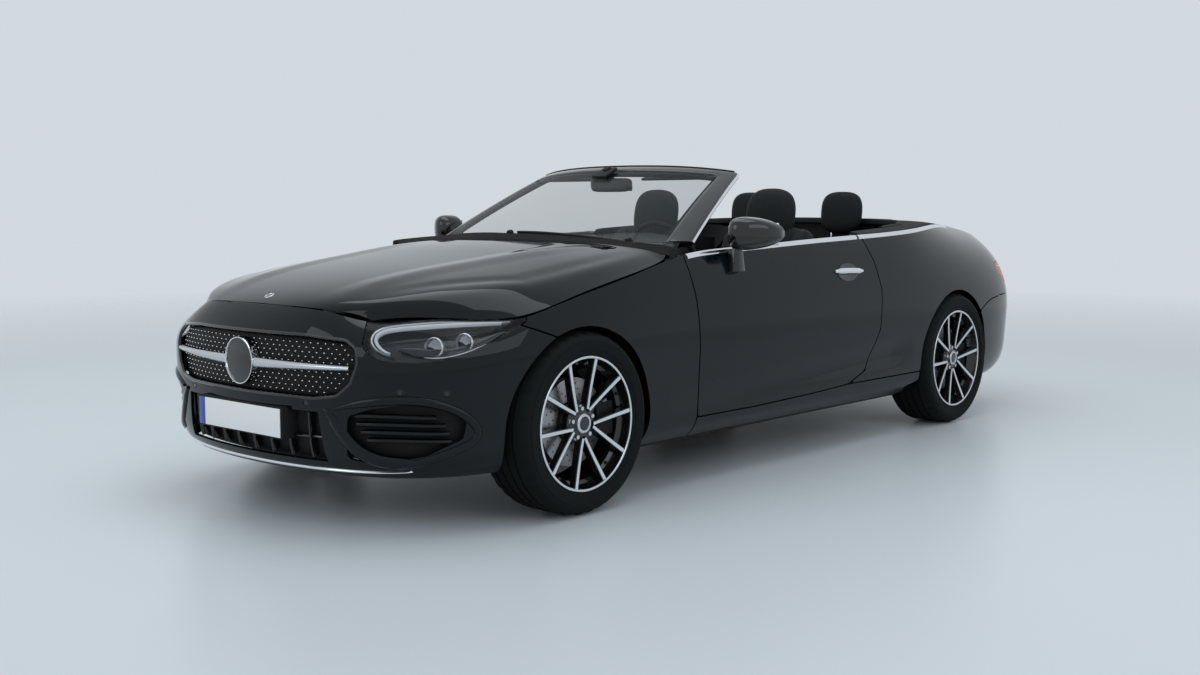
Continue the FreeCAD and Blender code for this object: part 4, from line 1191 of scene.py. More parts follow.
    def sharpen(self, moved: np.ndarray, on: np.ndarray) -> None:
        """Move border positions onto the outlines' corners."""
        js, iz = np.nonzero(on)
        if not len(js):
            return
        for limit in self.limits:
            if not limit.corners:
                continue
            for goal in np.array(limit.points, float):
                now = self.skin.flat(moved[js, iz, 0], moved[js, iz, 1])
                away = np.linalg.norm(limit.view.flat(now) - goal, axis=1)
                k = int(np.argmin(away))
                if away[k] > self.cell * 900:
                    continue
                place = self.corner(moved[js[k], iz[k]], limit, goal)
                if abs(self.reach(place[None])[0]) < 0.0007:
                    moved[js[k], iz[k]] = place

    def trim(self, model: Model, verts: np.ndarray, on: np.ndarray, reach: np.ndarray,
             moved: np.ndarray) -> None:
        """Split the squares that the border crosses and delete what lies outside."""
        nv, nu = on.shape
        out = (~on) & (reach <= 0)
        place = {verts[j, i]: moved[j, i] for j, i in zip(*np.nonzero(on))}
        dead = {verts[j, i] for j, i in zip(*np.nonzero(out))}
        for face in [f for f in model.bm.faces if sum(v in dead for v in f.verts) == 1]:
            ring = list(face.verts)
            k = next(n for n, v in enumerate(ring) if v in dead)
            bmesh.utils.face_split(face, ring[k - 1], ring[(k + 1) % len(ring)])
        bmesh.ops.delete(model.bm, geom=list(dead), context="VERTS")
        rim = [f for f in model.bm.faces if all(v in place for v in f.verts)]
        if rim:
            middles = np.array([np.mean([place[v] for v in f.verts], axis=0) for f in rim])
            far = self.reach(middles)
            bmesh.ops.delete(model.bm, geom=[f for f, r in zip(rim, far) if r < 1e-4], context="FACES")
        loose = [v for v in model.bm.verts if not v.link_faces]
        bmesh.ops.delete(model.bm, geom=loose, context="VERTS")


# Sub-assemblies

@dataclass
class Bodywork:
    """Painted panels cut from the body's skins, with its shut lines."""

    cell: float = 0.015
    shell: float = 0.006
    door_shell: float = 0.03

    def __post_init__(self) -> None:
        """Make the skins."""
        self.wrap = Skin(wrap_net(), True, self.side_relief)
        self.hood_skin = Skin(drawn_in(both_halves(BONNET), LID_GAP), False, self.hood_relief)
        self.deck_skin = Skin(drawn_in(both_halves(DECK), LID_GAP), False)
        self.count = self.wrap.rows.shape[1]

    @staticmethod
    def ridge(away: np.ndarray, width: float) -> np.ndarray:
        """A rounded crest from 1 in the middle to 0 at its width."""
        t = np.clip(np.abs(away) / width, 0, 1)
        return (1 - t) ** 2 * (1 + 2 * t) * 0.6 + 0.4 * (1 - np.sqrt(t * t + 0.004)) * (t < 1)

    def side_relief(self, p: np.ndarray) -> np.ndarray:
        """The crease above the sill, which rises towards the rear wheel."""
        x, y, z = p[:, 0], np.abs(p[:, 1]), p[:, 2]
        line = 0.44 + 0.05 * np.clip((0.2 - x) / 1.0, -0.6, 1.0)
        fade = np.clip((x + 0.86) / 0.2, 0, 1) * np.clip((1.05 - x) / 0.5, 0, 1) * (y > 0.7)
        away = z - line
        return fade * (-0.010 * self.ridge(away + 0.07, 0.085))

    def hood_relief(self, p: np.ndarray) -> np.ndarray:
        """Two raised creases that run back from the nose."""
        x, y = p[:, 0], np.abs(p[:, 1])
        line = 0.33 + 0.17 * np.clip((2.3 - x) / 1.3, 0, 1)
        fade = np.clip((2.30 - x) / 0.25, 0, 1) * np.clip((x - 1.05) / 0.3, 0, 1)
        outer = 0.52 + 0.27 * np.clip((2.2 - x) / 0.5, 0, 1)
        side = np.clip((2.2 - x) / 0.3, 0, 1) * np.clip((x - 1.05) / 0.3, 0, 1)
        return 0.006 * fade * self.ridge(y - line, 0.10) - 0.005 * side * self.ridge(y - outer + 0.07, 0.06)

    def build(self) -> None:
        """Build every painted panel."""
        side_doors = (8.0, 16.0)
        fender = Panel(self.wrap, [outline(View.SIDE, FENDER, gap=SHUT), ARCHES[0],
                                   outline(View.NOSE_CORNER, LAMP, False)], (5.2, 12.0), (0, self.wrap.top),
                       self.cell)
        self.pair(fender, "front_fender", "chassis", self.shell)
        quarter = Panel(self.wrap, [outline(View.SIDE, QUARTER, gap=SHUT), ARCHES[1],
                                    outline(View.TAIL_CORNER, TAIL_LAMP, False),
                                    outline(View.FRONT, LID_TAIL, False)],
                        (11.5, 21.8), (0, self.wrap.top), self.cell)
        self.pair(quarter, "rear_quarter", "chassis", self.shell)
        sill = Panel(self.wrap, [outline(View.SIDE, SILL, gap=SHUT), *ARCHES], side_doors,
                     (0, 2.4), self.cell)
        self.pair(sill, "side_sill", "chassis", self.shell)
        door = Panel(self.wrap, [outline(View.SIDE, rounded(DOOR, 30), gap=SHUT)], (9.0, 14.6),
                     (0, self.wrap.top), self.cell)
        piece = door.build("door_left", Look.PAINT, "door_left", (Look.DASH,))
        wall(piece, self.door_shell, inner=0)
        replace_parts(piece, "door_left")
        right = other_side(piece, "door_right", "door_right")
        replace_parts(right, "door_right")
        self.ends()
        self.lids()

    def pair(self, panel: Panel, node: str, body: str, shell: float) -> None:
        """Build a panel and its mirror image in place of their nodes."""
        left = panel.build(node + "_left_skin", Look.PAINT, body)
        wall(left, shell)
        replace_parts(left, node + "_left")
        right = other_side(left, node + "_right_skin", body)
        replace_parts(right, node + "_right")

    def ends(self) -> None:
        """Build the front and rear bumper covers."""
        nose = Panel(self.wrap, [outline(View.SIDE, FENDER, False, -SHUT), ARCHES[0],
                                 outline(View.NOSE_CORNER, LAMP, False), outline(View.FRONT, rounded(GRILLE, 40), False),
                                 outline(View.FRONT, INTAKE, False),
                                 outline(View.FRONT, rounded(self.signed(SIDE_OPENING, 1), 20), False),
                                 outline(View.FRONT, rounded(self.signed(SIDE_OPENING, -1), 20), False),
                                 outline(View.SIDE, [(1690, 100), (1690, 1200), (2600, 1200), (2600, 100)])],
                     (self.count - 8.9, self.count + 8.9), (0, self.wrap.top), self.cell * 0.85)
        cover = nose.build("front_bumper_skin", Look.PAINT, "chassis")
        wall(cover, 0.012)
        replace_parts(cover, "front_bumper")
        tail = Panel(self.wrap, [outline(View.SIDE, self.tail_cut(), False, -SHUT), ARCHES[1],
                                 outline(View.TAIL_CORNER, TAIL_LAMP, False),
                                 outline(View.FRONT, LID_TAIL, False),
                                 outline(View.SIDE, [(-1600, 100), (-1600, 1200), (-2600, 1200), (-2600, 100)])],
                     (15.2, self.count - 15.2), (0, self.wrap.top), self.cell)
        cover = tail.build("rear_bumper_skin", Look.PAINT, "chassis")
        wall(cover, 0.012)
        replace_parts(cover, "rear_bumper")

    @staticmethod
    def signed(points: Outline, side: int) -> Outline:
        """An outline on the left, or its mirror image."""
        return [(side * y, z) for y, z in points]

    @staticmethod
    def tail_cut() -> Outline:
        """The rear quarter's outline."""
        return QUARTER

    def lids(self) -> None:
        """Build the bonnet, the boot lid and the roof cover."""
        u, v = self.hood_skin.rows.shape[1] - 1, self.hood_skin.top
        hood = Panel(self.hood_skin, [], (0, u), (0, v), self.cell).build("hood_skin", Look.PAINT, "hood",
                                                                          (Look.PLASTIC,))
        wall(hood, 0.018, inner=1)
        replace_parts(hood, "hood")
        u, v = self.deck_skin.rows.shape[1] - 1, self.deck_skin.top
        back = outline(View.TOP, [(-2600, -1000), (LID_SPLIT - SHUT, -1000), (LID_SPLIT - SHUT, 1000), (-2600, 1000)])
        lid = Panel(self.deck_skin, [back], (0, u), (0, v), self.cell).build("trunk_lid_top", Look.PAINT,
                                                                            "trunk_lid", (Look.PLASTIC,))
        wall(lid, 0.016, inner=1)
        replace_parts(lid, "trunk_lid")
        tail = Panel(self.wrap, [outline(View.FRONT, LID_TAIL, gap=LID_GAP)], (18.5, self.count - 18.5),
                     (3.0, self.wrap.top), self.cell).build("trunk_lid_tail", Look.PAINT, "trunk_lid",
                                                           (Look.PLASTIC,))
        wall(tail, 0.016, inner=1)
        fore = outline(View.TOP, [(-449, -1000), (LID_SPLIT + SHUT, -1000), (LID_SPLIT + SHUT, 1000), (-449, 1000)])
        well = outline(View.TOP, rounded(CABIN[:], 60), False)
        cover = Panel(self.deck_skin, [fore, well], (0, u), (0, v), self.cell).build("roof_cover_cloth", Look.CLOTH,
                                                                                   "roof_cover", (Look.SEAL,))
        wall(cover, 0.018, 0.004, inner=1)
        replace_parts(cover, "roof_cover")

def smooth_path(points: Sequence[Sequence[float]], count: int) -> np.ndarray:
    """Points evenly spread along a smooth line through a few given ones.

    Args:
        points: the given points.
        count: how many are wanted.

    Returns:
        The line's points.
    """
    given = np.array(points, float)
    if len(given) < 4:
        given = np.stack([np.interp(np.linspace(0, len(given) - 1, 7), range(len(given)), c)
                          for c in given.T], 1)
    seconds = spline_seconds(given, False)
    u = np.linspace(0, len(given) - 1, 400)
    i = np.clip(np.floor(u).astype(int), 0, len(given) - 2)
    t = (u - i)[:, None]
    line = (1 - t) * given[i] + t * given[i + 1] - t * (1 - t) / 6 * (
        (2 - t) * seconds[i] + (1 + t) * seconds[i + 1])
    length = np.concatenate([[0], np.cumsum(np.linalg.norm(np.diff(line, axis=0), axis=1))])
    at = np.linspace(0, length[-1], count)
    return np.stack([np.interp(at, length, c) for c in line.T], 1)


def on_skin(skin: Skin, view: View, points: np.ndarray, start: tuple[float, float],
            lift: float = 0.0) -> tuple[np.ndarray, np.ndarray]:
    """Places on a skin that are seen at given coordinates.

    Args:
        skin: the skin.
        view: how they are seen.
        points: the coordinates in millimetres.
        start: a position near the first one.
        lift: how far above the skin the places are.

    Returns:
        The places and the skin's normals there.
    """
    goals = np.asarray(points, float)
    finder = Panel(skin, [], (0, 1), (0, 1))
    keys = np.unique(np.linspace(0, len(goals) - 1, min(len(goals), 7)).astype(int))
    place, found = np.array(start, float), []
    for key in keys:
        for _ in range(2 if found else 4):
            place = finder.corner(place, Limit(view, ()), goals[key])
        place[1] = min(max(place[1], 0.0), skin.top)
        found.append(place.copy())
    spots = np.stack([np.interp(np.arange(len(goals)), keys, column) for column in np.array(found).T], 1)
    for _ in range(12):
        spots = skin.nearer(view.flat, spots, goals)
    return skin.at(spots[:, 0], spots[:, 1], lift), skin.normal(spots[:, 0], spots[:, 1])


@dataclass
class Wheel:
    """A wheel with its tyre, disc and caliper, drawn on the left and mirrored to the right."""

    end: str
    x: float
    y: float
    z: float = 0.339
    tyre_radius: float = 0.339
    half_width: float = 0.1225
    rim_radius: float = 0.250
    face: float = 0.104
    foot: float = 0.056
    lean: float = math.radians(23)
    start: float = math.radians(185)
    steps: int = 120

    def centre(self) -> Vector:
        """The wheel's middle."""
        return Vector((self.x, self.y, self.z))

    def tyre(self) -> Model:
        """The tyre with its grooves, shoulder cuts and sidewall rings."""
        model = Model(f"tyre_{self.end}_left_rubber", (Look.TYRE,))
        side = [(0.247, 0.104), (0.254, 0.112), (0.262, 0.1155), (0.266, 0.1155), (0.268, 0.1175),
                (0.272, 0.1175), (0.274, 0.1195), (0.290, 0.1222), (0.300, 0.1225), (0.302, 0.1205),
                (0.306, 0.1205), (0.308, 0.1212), (0.315, 0.1185), (0.323, 0.1130), (0.3298, 0.1045),
                (0.3345, 0.095), (0.3370, 0.084)]
        tread = []
        for middle in (0.062, 0.021, -0.021, -0.062):
            for h, r in ((0.0055, 0.3385), (0.0045, 0.3318), (-0.0045, 0.3318), (-0.0055, 0.3385)):
                tread.append((r, middle + h))
        profile = side + tread + [(r, -h) for r, h in side[::-1]]
        verts = model.lathe(profile, self.centre(), self.steps)
        for v in verts:
            away = v.co - self.centre()
            turn = round((math.atan2(away.z, away.x) % math.tau) / math.tau * self.steps)
            radius = math.hypot(away.x, away.z)
            if turn % 3 == 0 and radius > 0.325 and 0.07 < abs(away.y) < 0.1165:
                shrink = 1 - 0.006 / radius
                v.co = self.centre() + Vector((away.x * shrink, away.y, away.z * shrink))
        return model

    def spoke(self, model: Model, pair: int, side: int) -> None:
        """One spoke of a pair, black with a machined front face.

        Args:
            model: the rim.
            pair: which pair it belongs to.
            side: which side of the pair it is on.
        """
        sections = []
        for t in np.linspace(0, 1, 7):
            along = 0.188 * t
            middle = Vector((side * (0.0052 + math.sin(self.lean) * along), 0,
                             self.foot + math.cos(self.lean) * along))
            front, half = self.face - 0.012 + 0.019 * t ** 1.4, 0.0052 + 0.0018 * t
            back = front - 0.030 + 0.006 * t
            across = Vector((math.cos(self.lean), 0, -side * math.sin(self.lean)))
            ring = []
            for s, y in ((-half, front), (half, front), (half + 0.0028, front - 0.0028),
                         (half + 0.007, back), (-half - 0.007, back), (-half - 0.0028, front - 0.0028)):
                ring.append(middle + across * s + Vector((0, y, 0)))
            sections.append(ring)
        turn = Matrix.Rotation(self.start + math.radians(72) * pair, 4, "Y")
        made = model.loft([[self.centre() + turn @ p for p in ring] for ring in sections])
        face = {v for i, v in enumerate(made) if i % 6 < 2}
        model.paint([f for f in model.faces_of(made) if all(v in face for v in f.verts) and len(f.verts) == 4], 1)

    def rim(self) -> Model:
        """The rim with its barrel, spokes, hub, bolts and cap."""
        model = Model(f"rim_{self.end}_left_metal", (Look.RIM, Look.MACHINED, Look.SATIN))
        barrel = [(0.2495, 0.100), (0.2495, 0.111), (0.240, 0.111), (0.2385, 0.107), (0.2365, 0.090),
                  (0.229, 0.074), (0.216, 0.066), (0.213, 0.045), (0.211, -0.060), (0.236, -0.096),
                  (0.248, -0.112), (0.2495, -0.112), (0.2495, -0.100), (0.224, -0.07), (0.222, 0.05)]
        model.lathe(barrel, self.centre(), 72)
        lip = [(0.2496, 0.1085), (0.2496, 0.1135), (0.2480, 0.1148), (0.2425, 0.1148), (0.2408, 0.1135),
               (0.2408, 0.1085)]
        model.lathe(lip, self.centre(), 96, index=1)
        hub = [(0.0, 0.086), (0.044, 0.086), (0.062, 0.083), (0.073, 0.076), (0.078, 0.062), (0.078, 0.046),
               (0.0, 0.046)]
        model.lathe(hub, self.centre(), 48)
        cap = [(0.0, 0.0985), (0.022, 0.0975), (0.0245, 0.0955), (0.0245, 0.0945)]
        model.lathe(cap, self.centre(), 36)
        ring = [(0.0245, 0.094), (0.0262, 0.0982), (0.0335, 0.0982), (0.0365, 0.0955), (0.0375, 0.086)]
        model.lathe(ring, self.centre(), 36, index=2)
        for pair in range(5):
            for side in (-1, 1):
                self.spoke(model, pair, side)
            for offset, radius, look in ((36, 0.056, 0), (36, 0.222, 0)):
                angle = self.start + math.radians(72 * pair + offset)
                spot = self.centre() + Vector((math.sin(angle) * radius, 0, math.cos(angle) * radius))
                if radius < 0.1:
                    bolt = [(0.0, 0.092), (0.0085, 0.092), (0.0095, 0.090), (0.0095, 0.082), (0.013, 0.0815)]
                    model.lathe(bolt, spot, 6, index=2)
                else:
                    model.lathe([(0.0, 0.0785), (0.005, 0.0785), (0.006, 0.070)], spot, 10, index=look)
        return model

    def disc(self) -> Model:
        """The brake disc with its bell and drilled face."""
        model = Model(f"brake_disc_{self.end}_left_iron", (Look.DISC, Look.STRUCTURE))
        plate = [(0.083, 0.036), (0.164, 0.036), (0.165, 0.0355), (0.165, 0.026), (0.160, 0.0255),
                 (0.160, 0.0185), (0.165, 0.018), (0.165, 0.0085), (0.164, 0.008), (0.083, 0.008)]
        model.lathe(plate, self.centre(), 72)
        bell = [(0.0, 0.045), (0.076, 0.045), (0.081, 0.042), (0.082, 0.036), (0.082, 0.008)]
        model.lathe(bell, self.centre(), 48, index=1)
        for ring, radius in enumerate((0.105, 0.124, 0.143)):
            for k in range(18):
                angle = math.tau * (k + ring / 3) / 18
                spot = self.centre() + Vector((math.sin(angle) * radius, 0, math.cos(angle) * radius))
                model.lathe([(0.0, 0.0362), (0.0036, 0.0362), (0.0040, 0.0355)], spot, 8, index=1)
        return model

    def caliper(self) -> Model:
        """The brake caliper behind the axle."""
        model = Model(f"caliper_{self.end}_left", (Look.CALIPER,))
        sections = []
        for angle in np.linspace(math.radians(-24), math.radians(24), 9):
            far = 0.196 - 0.010 * abs(angle) ** 2 * 20
            turn = Matrix.Rotation(angle, 4, "Y")
            ring = [(0.105, 0.041), (0.118, 0.058), (0.150, 0.062), (0.180, 0.058), (far, 0.044),
                    (far, -0.004), (0.180, -0.012), (0.118, -0.012), (0.107, -0.002), (0.172, 0.001),
                    (0.172, 0.040)]
            sections.append([self.centre() + turn @ Vector((-r, h, 0)) for r, h in ring])
        model.loft(sections)
        return model

    def build(self) -> None:
        """Build the wheel on both sides."""
        carrier = "knuckle_left" if self.end == "front" else "chassis"
        for model, node, moving in ((self.tyre(), "tyre", True), (self.rim(), "rim", True),
                                    (self.disc(), "brake_disc", True), (self.caliper(), "", False)):
            body = f"wheel_{self.end}_left" if moving else carrier
            left = model.done(body, sharp=32)
            right = other_side(left, left.name.replace("left", "right"), body.replace("left", "right"))
            if node:
                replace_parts(left, f"{node}_{self.end}_left")
                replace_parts(right, f"{node}_{self.end}_right")


@dataclass
class Nose:
    """Grille, lamps, intakes, bright strip and plate at the front."""

    skin: Skin
    count: int
    blade_z: float = 578.0
    disc_radius: float = 0.086

    def line(self, view: View, points: Sequence[Sequence[float]], start: tuple[float, float], lift: float,
             count: int = 40) -> tuple[np.ndarray, np.ndarray]:
        """A smooth line on the skin through a few seen points."""
        flat = smooth_path([(a, b, 0) for a, b in points], count)[:, :2]
        return on_skin(self.skin, view, flat, start, lift)

    def grille(self) -> None:
        """Black mesh with bright studs, two blades and a plain round centre."""
        opening = rounded(GRILLE, 40)
        reach = (self.count - 3.6, self.count + 3.6)
        back = Panel(self.skin, [outline(View.FRONT, opening, gap=1.0)], reach, (1.2, 4.2), 0.012,
                     -0.026).build("grille_mesh", Look.MESH, "chassis")
        wall(back, 0.006, 0)
        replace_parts(back, "front_grille")
        rim = Model("grille_frame", (Look.PIANO,))
        edge = np.array(rounded(GRILLE, 40, 9))
        edge = np.vstack([edge, edge[:1]])
        path, normals = on_skin(self.skin, View.FRONT, smooth_loop(edge, 160), (self.count + 1.5, 2.6), -0.004)
        rim.strip(path, normals, 0.012, 0.005)
        rim.done("chassis")
        self.studs(opening)
        blades = Model("grille_blades", (Look.SATIN,))
        path, normals = self.line(View.FRONT, [(80, self.blade_z - 2), (230, self.blade_z), (380, self.blade_z + 2),
                                               (528, self.blade_z + 4)], (self.count + 0.4, 2.6), -0.006)
        sections = []
        for i, (p, n) in enumerate(zip(path, normals)):
            t = i / (len(path) - 1)
            half = 0.019 - 0.010 * t
            up = Vector((0, 0, 1))
            sections.append([Vector(p) + up * a * half + Vector(n) * b for a, b in
                             ((1, -0.006), (0.9, 0.002), (0.25, 0.008), (-0.25, 0.008), (-0.9, 0.002), (-1, -0.006))])
        blades.loft(sections)
        blades.mirror()
        blades.done("chassis", sharp=60)
        badge = Model("grille_centre_disc", (Look.PIANO, Look.CHROME))
        middle = (2.4, 0.0, self.blade_z / 1000)
        r = self.disc_radius
        badge.lathe([(0.0, 0.0175), (r * 0.5, 0.0165), (r - 0.006, 0.0135), (r - 0.006, -0.02)], middle, 72, (1, 0, 0))
        badge.lathe([(r - 0.0062, 0.012), (r - 0.0045, 0.0185), (r - 0.001, 0.0185), (r, 0.014), (r, -0.012)],
                    middle, 72, (1, 0, 0), 1)
        badge.done("chassis")

    def studs(self, opening: Outline) -> None:
        """Rows of small bright studs on the mesh."""
        model = Model("grille_studs", (Look.CHROME,))
        limit = Limit(View.FRONT, tuple(inset(opening, 13)))
        spots = []
        for row in range(-6, 7):
            z = self.blade_z + row * 17.5
            if abs(row) < 1:
                continue
            for k in range(-16, 17):
                spots.append(((k + (row % 2) / 2) * 33.0, z))
        flat = np.array(spots)
        mask = limit.reach(np.column_stack([np.zeros(len(flat)), flat / 1000])) > 0
        mask &= np.hypot(flat[:, 0], flat[:, 1] - self.blade_z) > self.disc_radius * 1000 + 9
        flat = flat[mask]
        order = np.lexsort((flat[:, 0], flat[:, 1]))
        start = (self.count - 2.6, 2.0)
        for z in sorted(set(flat[order][:, 1])):
            row = flat[order][flat[order][:, 1] == z]
            places, normals = on_skin(self.skin, View.FRONT, row, start, -0.0245)
            for p, n in zip(places, normals):
                turn = Vector(n).to_track_quat("Z", "Y").to_matrix().to_4x4()
                size = Matrix.Diagonal((0.0042, 0.0030, 0.0042, 1))
                bmesh.ops.create_icosphere(model.bm, subdivisions=1, radius=1,
                                           matrix=Matrix.Translation(p) @ turn @ size)
        model.done("chassis", sharp=180)

    def lamps(self) -> None:
        """Clear covers over dark bowls with their light bars and lens units."""
        reach, rise = (2.0, 7.4), (1.6, self.skin.top)
        cover = Panel(self.skin, [outline(View.NOSE_CORNER, LAMP, gap=2.0)], reach, rise, 0.012)
        left = cover.build("headlamp_cover_left", Look.LENS, "chassis")
        wall(left, 0.003)
        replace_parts(left, "headlamps")
        other_side(left, "headlamp_cover_right", "chassis")
        bowl = Panel(self.skin, [outline(View.NOSE_CORNER, LAMP, gap=3.0)], reach, rise, 0.014,
                     -0.050).build("headlamp_bowl_left", Look.LAMP_DARK, "chassis")
        other_side(bowl, "headlamp_bowl_right", "chassis")
        units = Model("headlamp_units", (Look.LAMP_SILVER, Look.LIGHT_BAR, Look.LENS, Look.LAMP_DARK))
        corner, start = View.NOSE_CORNER, (3.6, 4.0)
        path, normals = self.line(corner, [(772, 640), (742, 655), (722, 684), (738, 708), (800, 722), (920, 731),
                                           (1040, 735), (1150, 734)], start, -0.012, 90)
        units.strip(path, normals, 0.013, 0.007, 1, 0.6)
        path, normals = self.line(corner, [(772, 632), (730, 650), (706, 684), (728, 718), (800, 734), (920, 743),
                                           (1040, 746), (1180, 742)], start, -0.016, 90)
        units.strip(path, normals, 0.009, 0.006, 0, 0.4)
        path, normals = self.line(corner, [(890, 626), (960, 624), (1030, 638), (1100, 664)], start, -0.012, 40)
        units.strip(path, normals, 0.005, 0.004, 1, 0.4)
        for s, z, radius in ((935, 676, 0.031), (1042, 690, 0.028)):
            place, normal = on_skin(self.skin, corner, np.array([(s, z)]), start, -0.046)
            axis = (Vector(normal[0]) * 0.35 + Vector((0.94, 0.18, -0.02))).normalized()
            middle = Vector(place[0])
            units.lathe([(radius, 0.0), (radius + 0.004, 0.012), (radius + 0.006, 0.026), (radius + 0.002, 0.030),
                         (radius - 0.002, 0.022)], middle, 32, axis)
            units.lathe([(0.0, 0.026), (radius * 0.5, 0.023), (radius * 0.85, 0.014), (radius, 0.004)], middle, 32,
                        axis, 2)
            units.lathe([(0.0, 0.002), (radius * 0.6, 0.003), (radius, 0.008)], middle, 24, axis)
        path, normals = self.line(corner, [(800, 668), (860, 655), (1000, 650), (1110, 690), (1170, 712)], start,
                                  -0.034, 40)
        units.strip(path, normals, 0.030, 0.006, 3, 0.4)
        units.mirror()
        units.done("chassis", sharp=50)

    def intakes(self) -> None:
        """Lower openings with their slats, ribs, fins and the bright strip under them."""
        back = Panel(self.skin, [outline(View.FRONT, INTAKE, gap=-34)], (self.count - 3.2, self.count + 3.2),
                     (0, 2.4), 0.014, -0.040).build("intake_back", Look.PLASTIC, "chassis")
        wall(back, 0.006, 0)
        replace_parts(back, "lower_grilles")
        left = Panel(self.skin, [outline(View.FRONT, SIDE_OPENING, gap=-24)], (1.4, 6.2), (0, 2.4), 0.014,
                     -0.042).build("side_intake_back_left", Look.PLASTIC, "chassis")
        wall(left, 0.006, 0)
        other_side(left, "side_intake_back_right", "chassis")
        ribs = Model("intake_ribs", (Look.PIANO,))
        for y in (-350, -250, -150, -50, 50, 150, 250, 350):
            path, normals = self.line(View.FRONT, [(y, 256), (y, 320), (y, 380), (y, 420)],
                                      (self.count + y / 205, 0.8), -0.022, 10)
            ribs.strip(path, normals, 0.010, 0.016)
        path, normals = self.line(View.FRONT, [(-400, 332), (-200, 330), (0, 330), (200, 330), (400, 332)],
                                  (self.count - 2.0, 1.0), -0.026, 50)
        ribs.strip(path, normals, 0.012, 0.010)
        ribs.done("chassis")
        fins = Model("bumper_fins", (Look.PAINT,))
        for z, y0, y1 in ((418, 540, 772), (390, 545, 790), (362, 560, 796), (334, 580, 798)):
            path, normals = self.line(View.FRONT, [(y0, z), (y0 * 0.6 + y1 * 0.4, z + 2), (y0 * 0.3 + y1 * 0.7, z),
                                                   (y1, z - 4)], (3.0, 1.4), -0.018, 24)
            fins.strip(path, normals, 0.016, 0.010)
        fin = [(470, 440), (560, 462), (680, 478), (770, 466), (822, 420), (838, 350), (800, 300), (720, 262),
               (640, 244)]
        path, normals = self.line(View.FRONT, fin, (2.4, 1.6), 0.0, 90)
        fins.strip(path, normals, 0.030, 0.009, 0, 0.35)
        sweep = [(425, 436), (462, 400), (505, 340), (560, 288), (640, 258), (740, 262)]
        path, normals = self.line(View.FRONT, sweep, (2.1, 1.6), -0.004, 60)
        fins.strip(path, normals, 0.046, 0.012, 0, 0.4)
        fins.mirror()
        fins.done("chassis", sharp=60)
        strip = Model("splitter_strip", (Look.CHROME,))
        path, normals = self.line(View.FRONT, [(-690, 236), (-620, 226), (-400, 221), (-200, 219), (0, 219), (200, 219),
                                               (400, 221), (620, 226), (690, 236)], (self.count - 3.5, 0.3), 0.001,
                                  140)
        strip.strip(path, normals, 0.010, 0.006, 0, 0.5)
        strip.done("chassis")
        sensors = Model("parking_sensors", (Look.PIANO,))
        for y, z, start in ((350, 452, (1.7, 2.0)), (690, 505, (3.6, 2.4)), (795, 500, (4.6, 2.4))):
            place, normal = on_skin(self.skin, View.FRONT, np.array([(y, z)]), start, 0.0)
            sensors.lathe([(0.0, 0.0012), (0.008, 0.0012), (0.0088, 0.0004), (0.0092, -0.002), (0.0104, -0.002),
                           (0.0110, 0.0014), (0.0122, 0.0004), (0.0124, -0.002)], place[0], 28, normal[0])
        sensors.mirror()
        sensors.done("chassis")

    def plates(self) -> None:
        """Blank plates in their black holders, each with a blue band."""
        for name, body, sign, x, z in (("front_plate_blank", "chassis", 1, 2.4225, 0.375),
                                       ("rear_plate_blank", "trunk_lid", -1, -2.4225, 0.756)):
            model = Model(name, (Look.PLATE, Look.BLUE, Look.PLASTIC))
            deep = 0.10 if sign > 0 else 0.016
            model.block((x - sign * deep / 2, 0, z), (deep, 0.522, 0.114), None, 0.004, 2)
            band = -0.2345 * sign
            model.block((x + sign * 0.0012, 0.0195 * sign, z), (0.004, 0.469, 0.102), None, 0.0018)
            model.block((x + sign * 0.0012, band, z), (0.004, 0.038, 0.102), None, 0.0018, 1)
            piece = model.done(body)
            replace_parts(piece, name.replace("_blank", ""))

    def build(self) -> None:
        """Build everything on the nose."""
        self.grille()
        self.lamps()
        self.intakes()
        self.plates()


def smooth_loop(points: np.ndarray, count: int) -> np.ndarray:
    """A closed line's points spread evenly."""
    length = np.concatenate([[0], np.cumsum(np.linalg.norm(np.diff(points, axis=0), axis=1))])
    at = np.linspace(0, length[-1], count)
    return np.stack([np.interp(at, length, points[:, 0]), np.interp(at, length, points[:, 1])], 1)

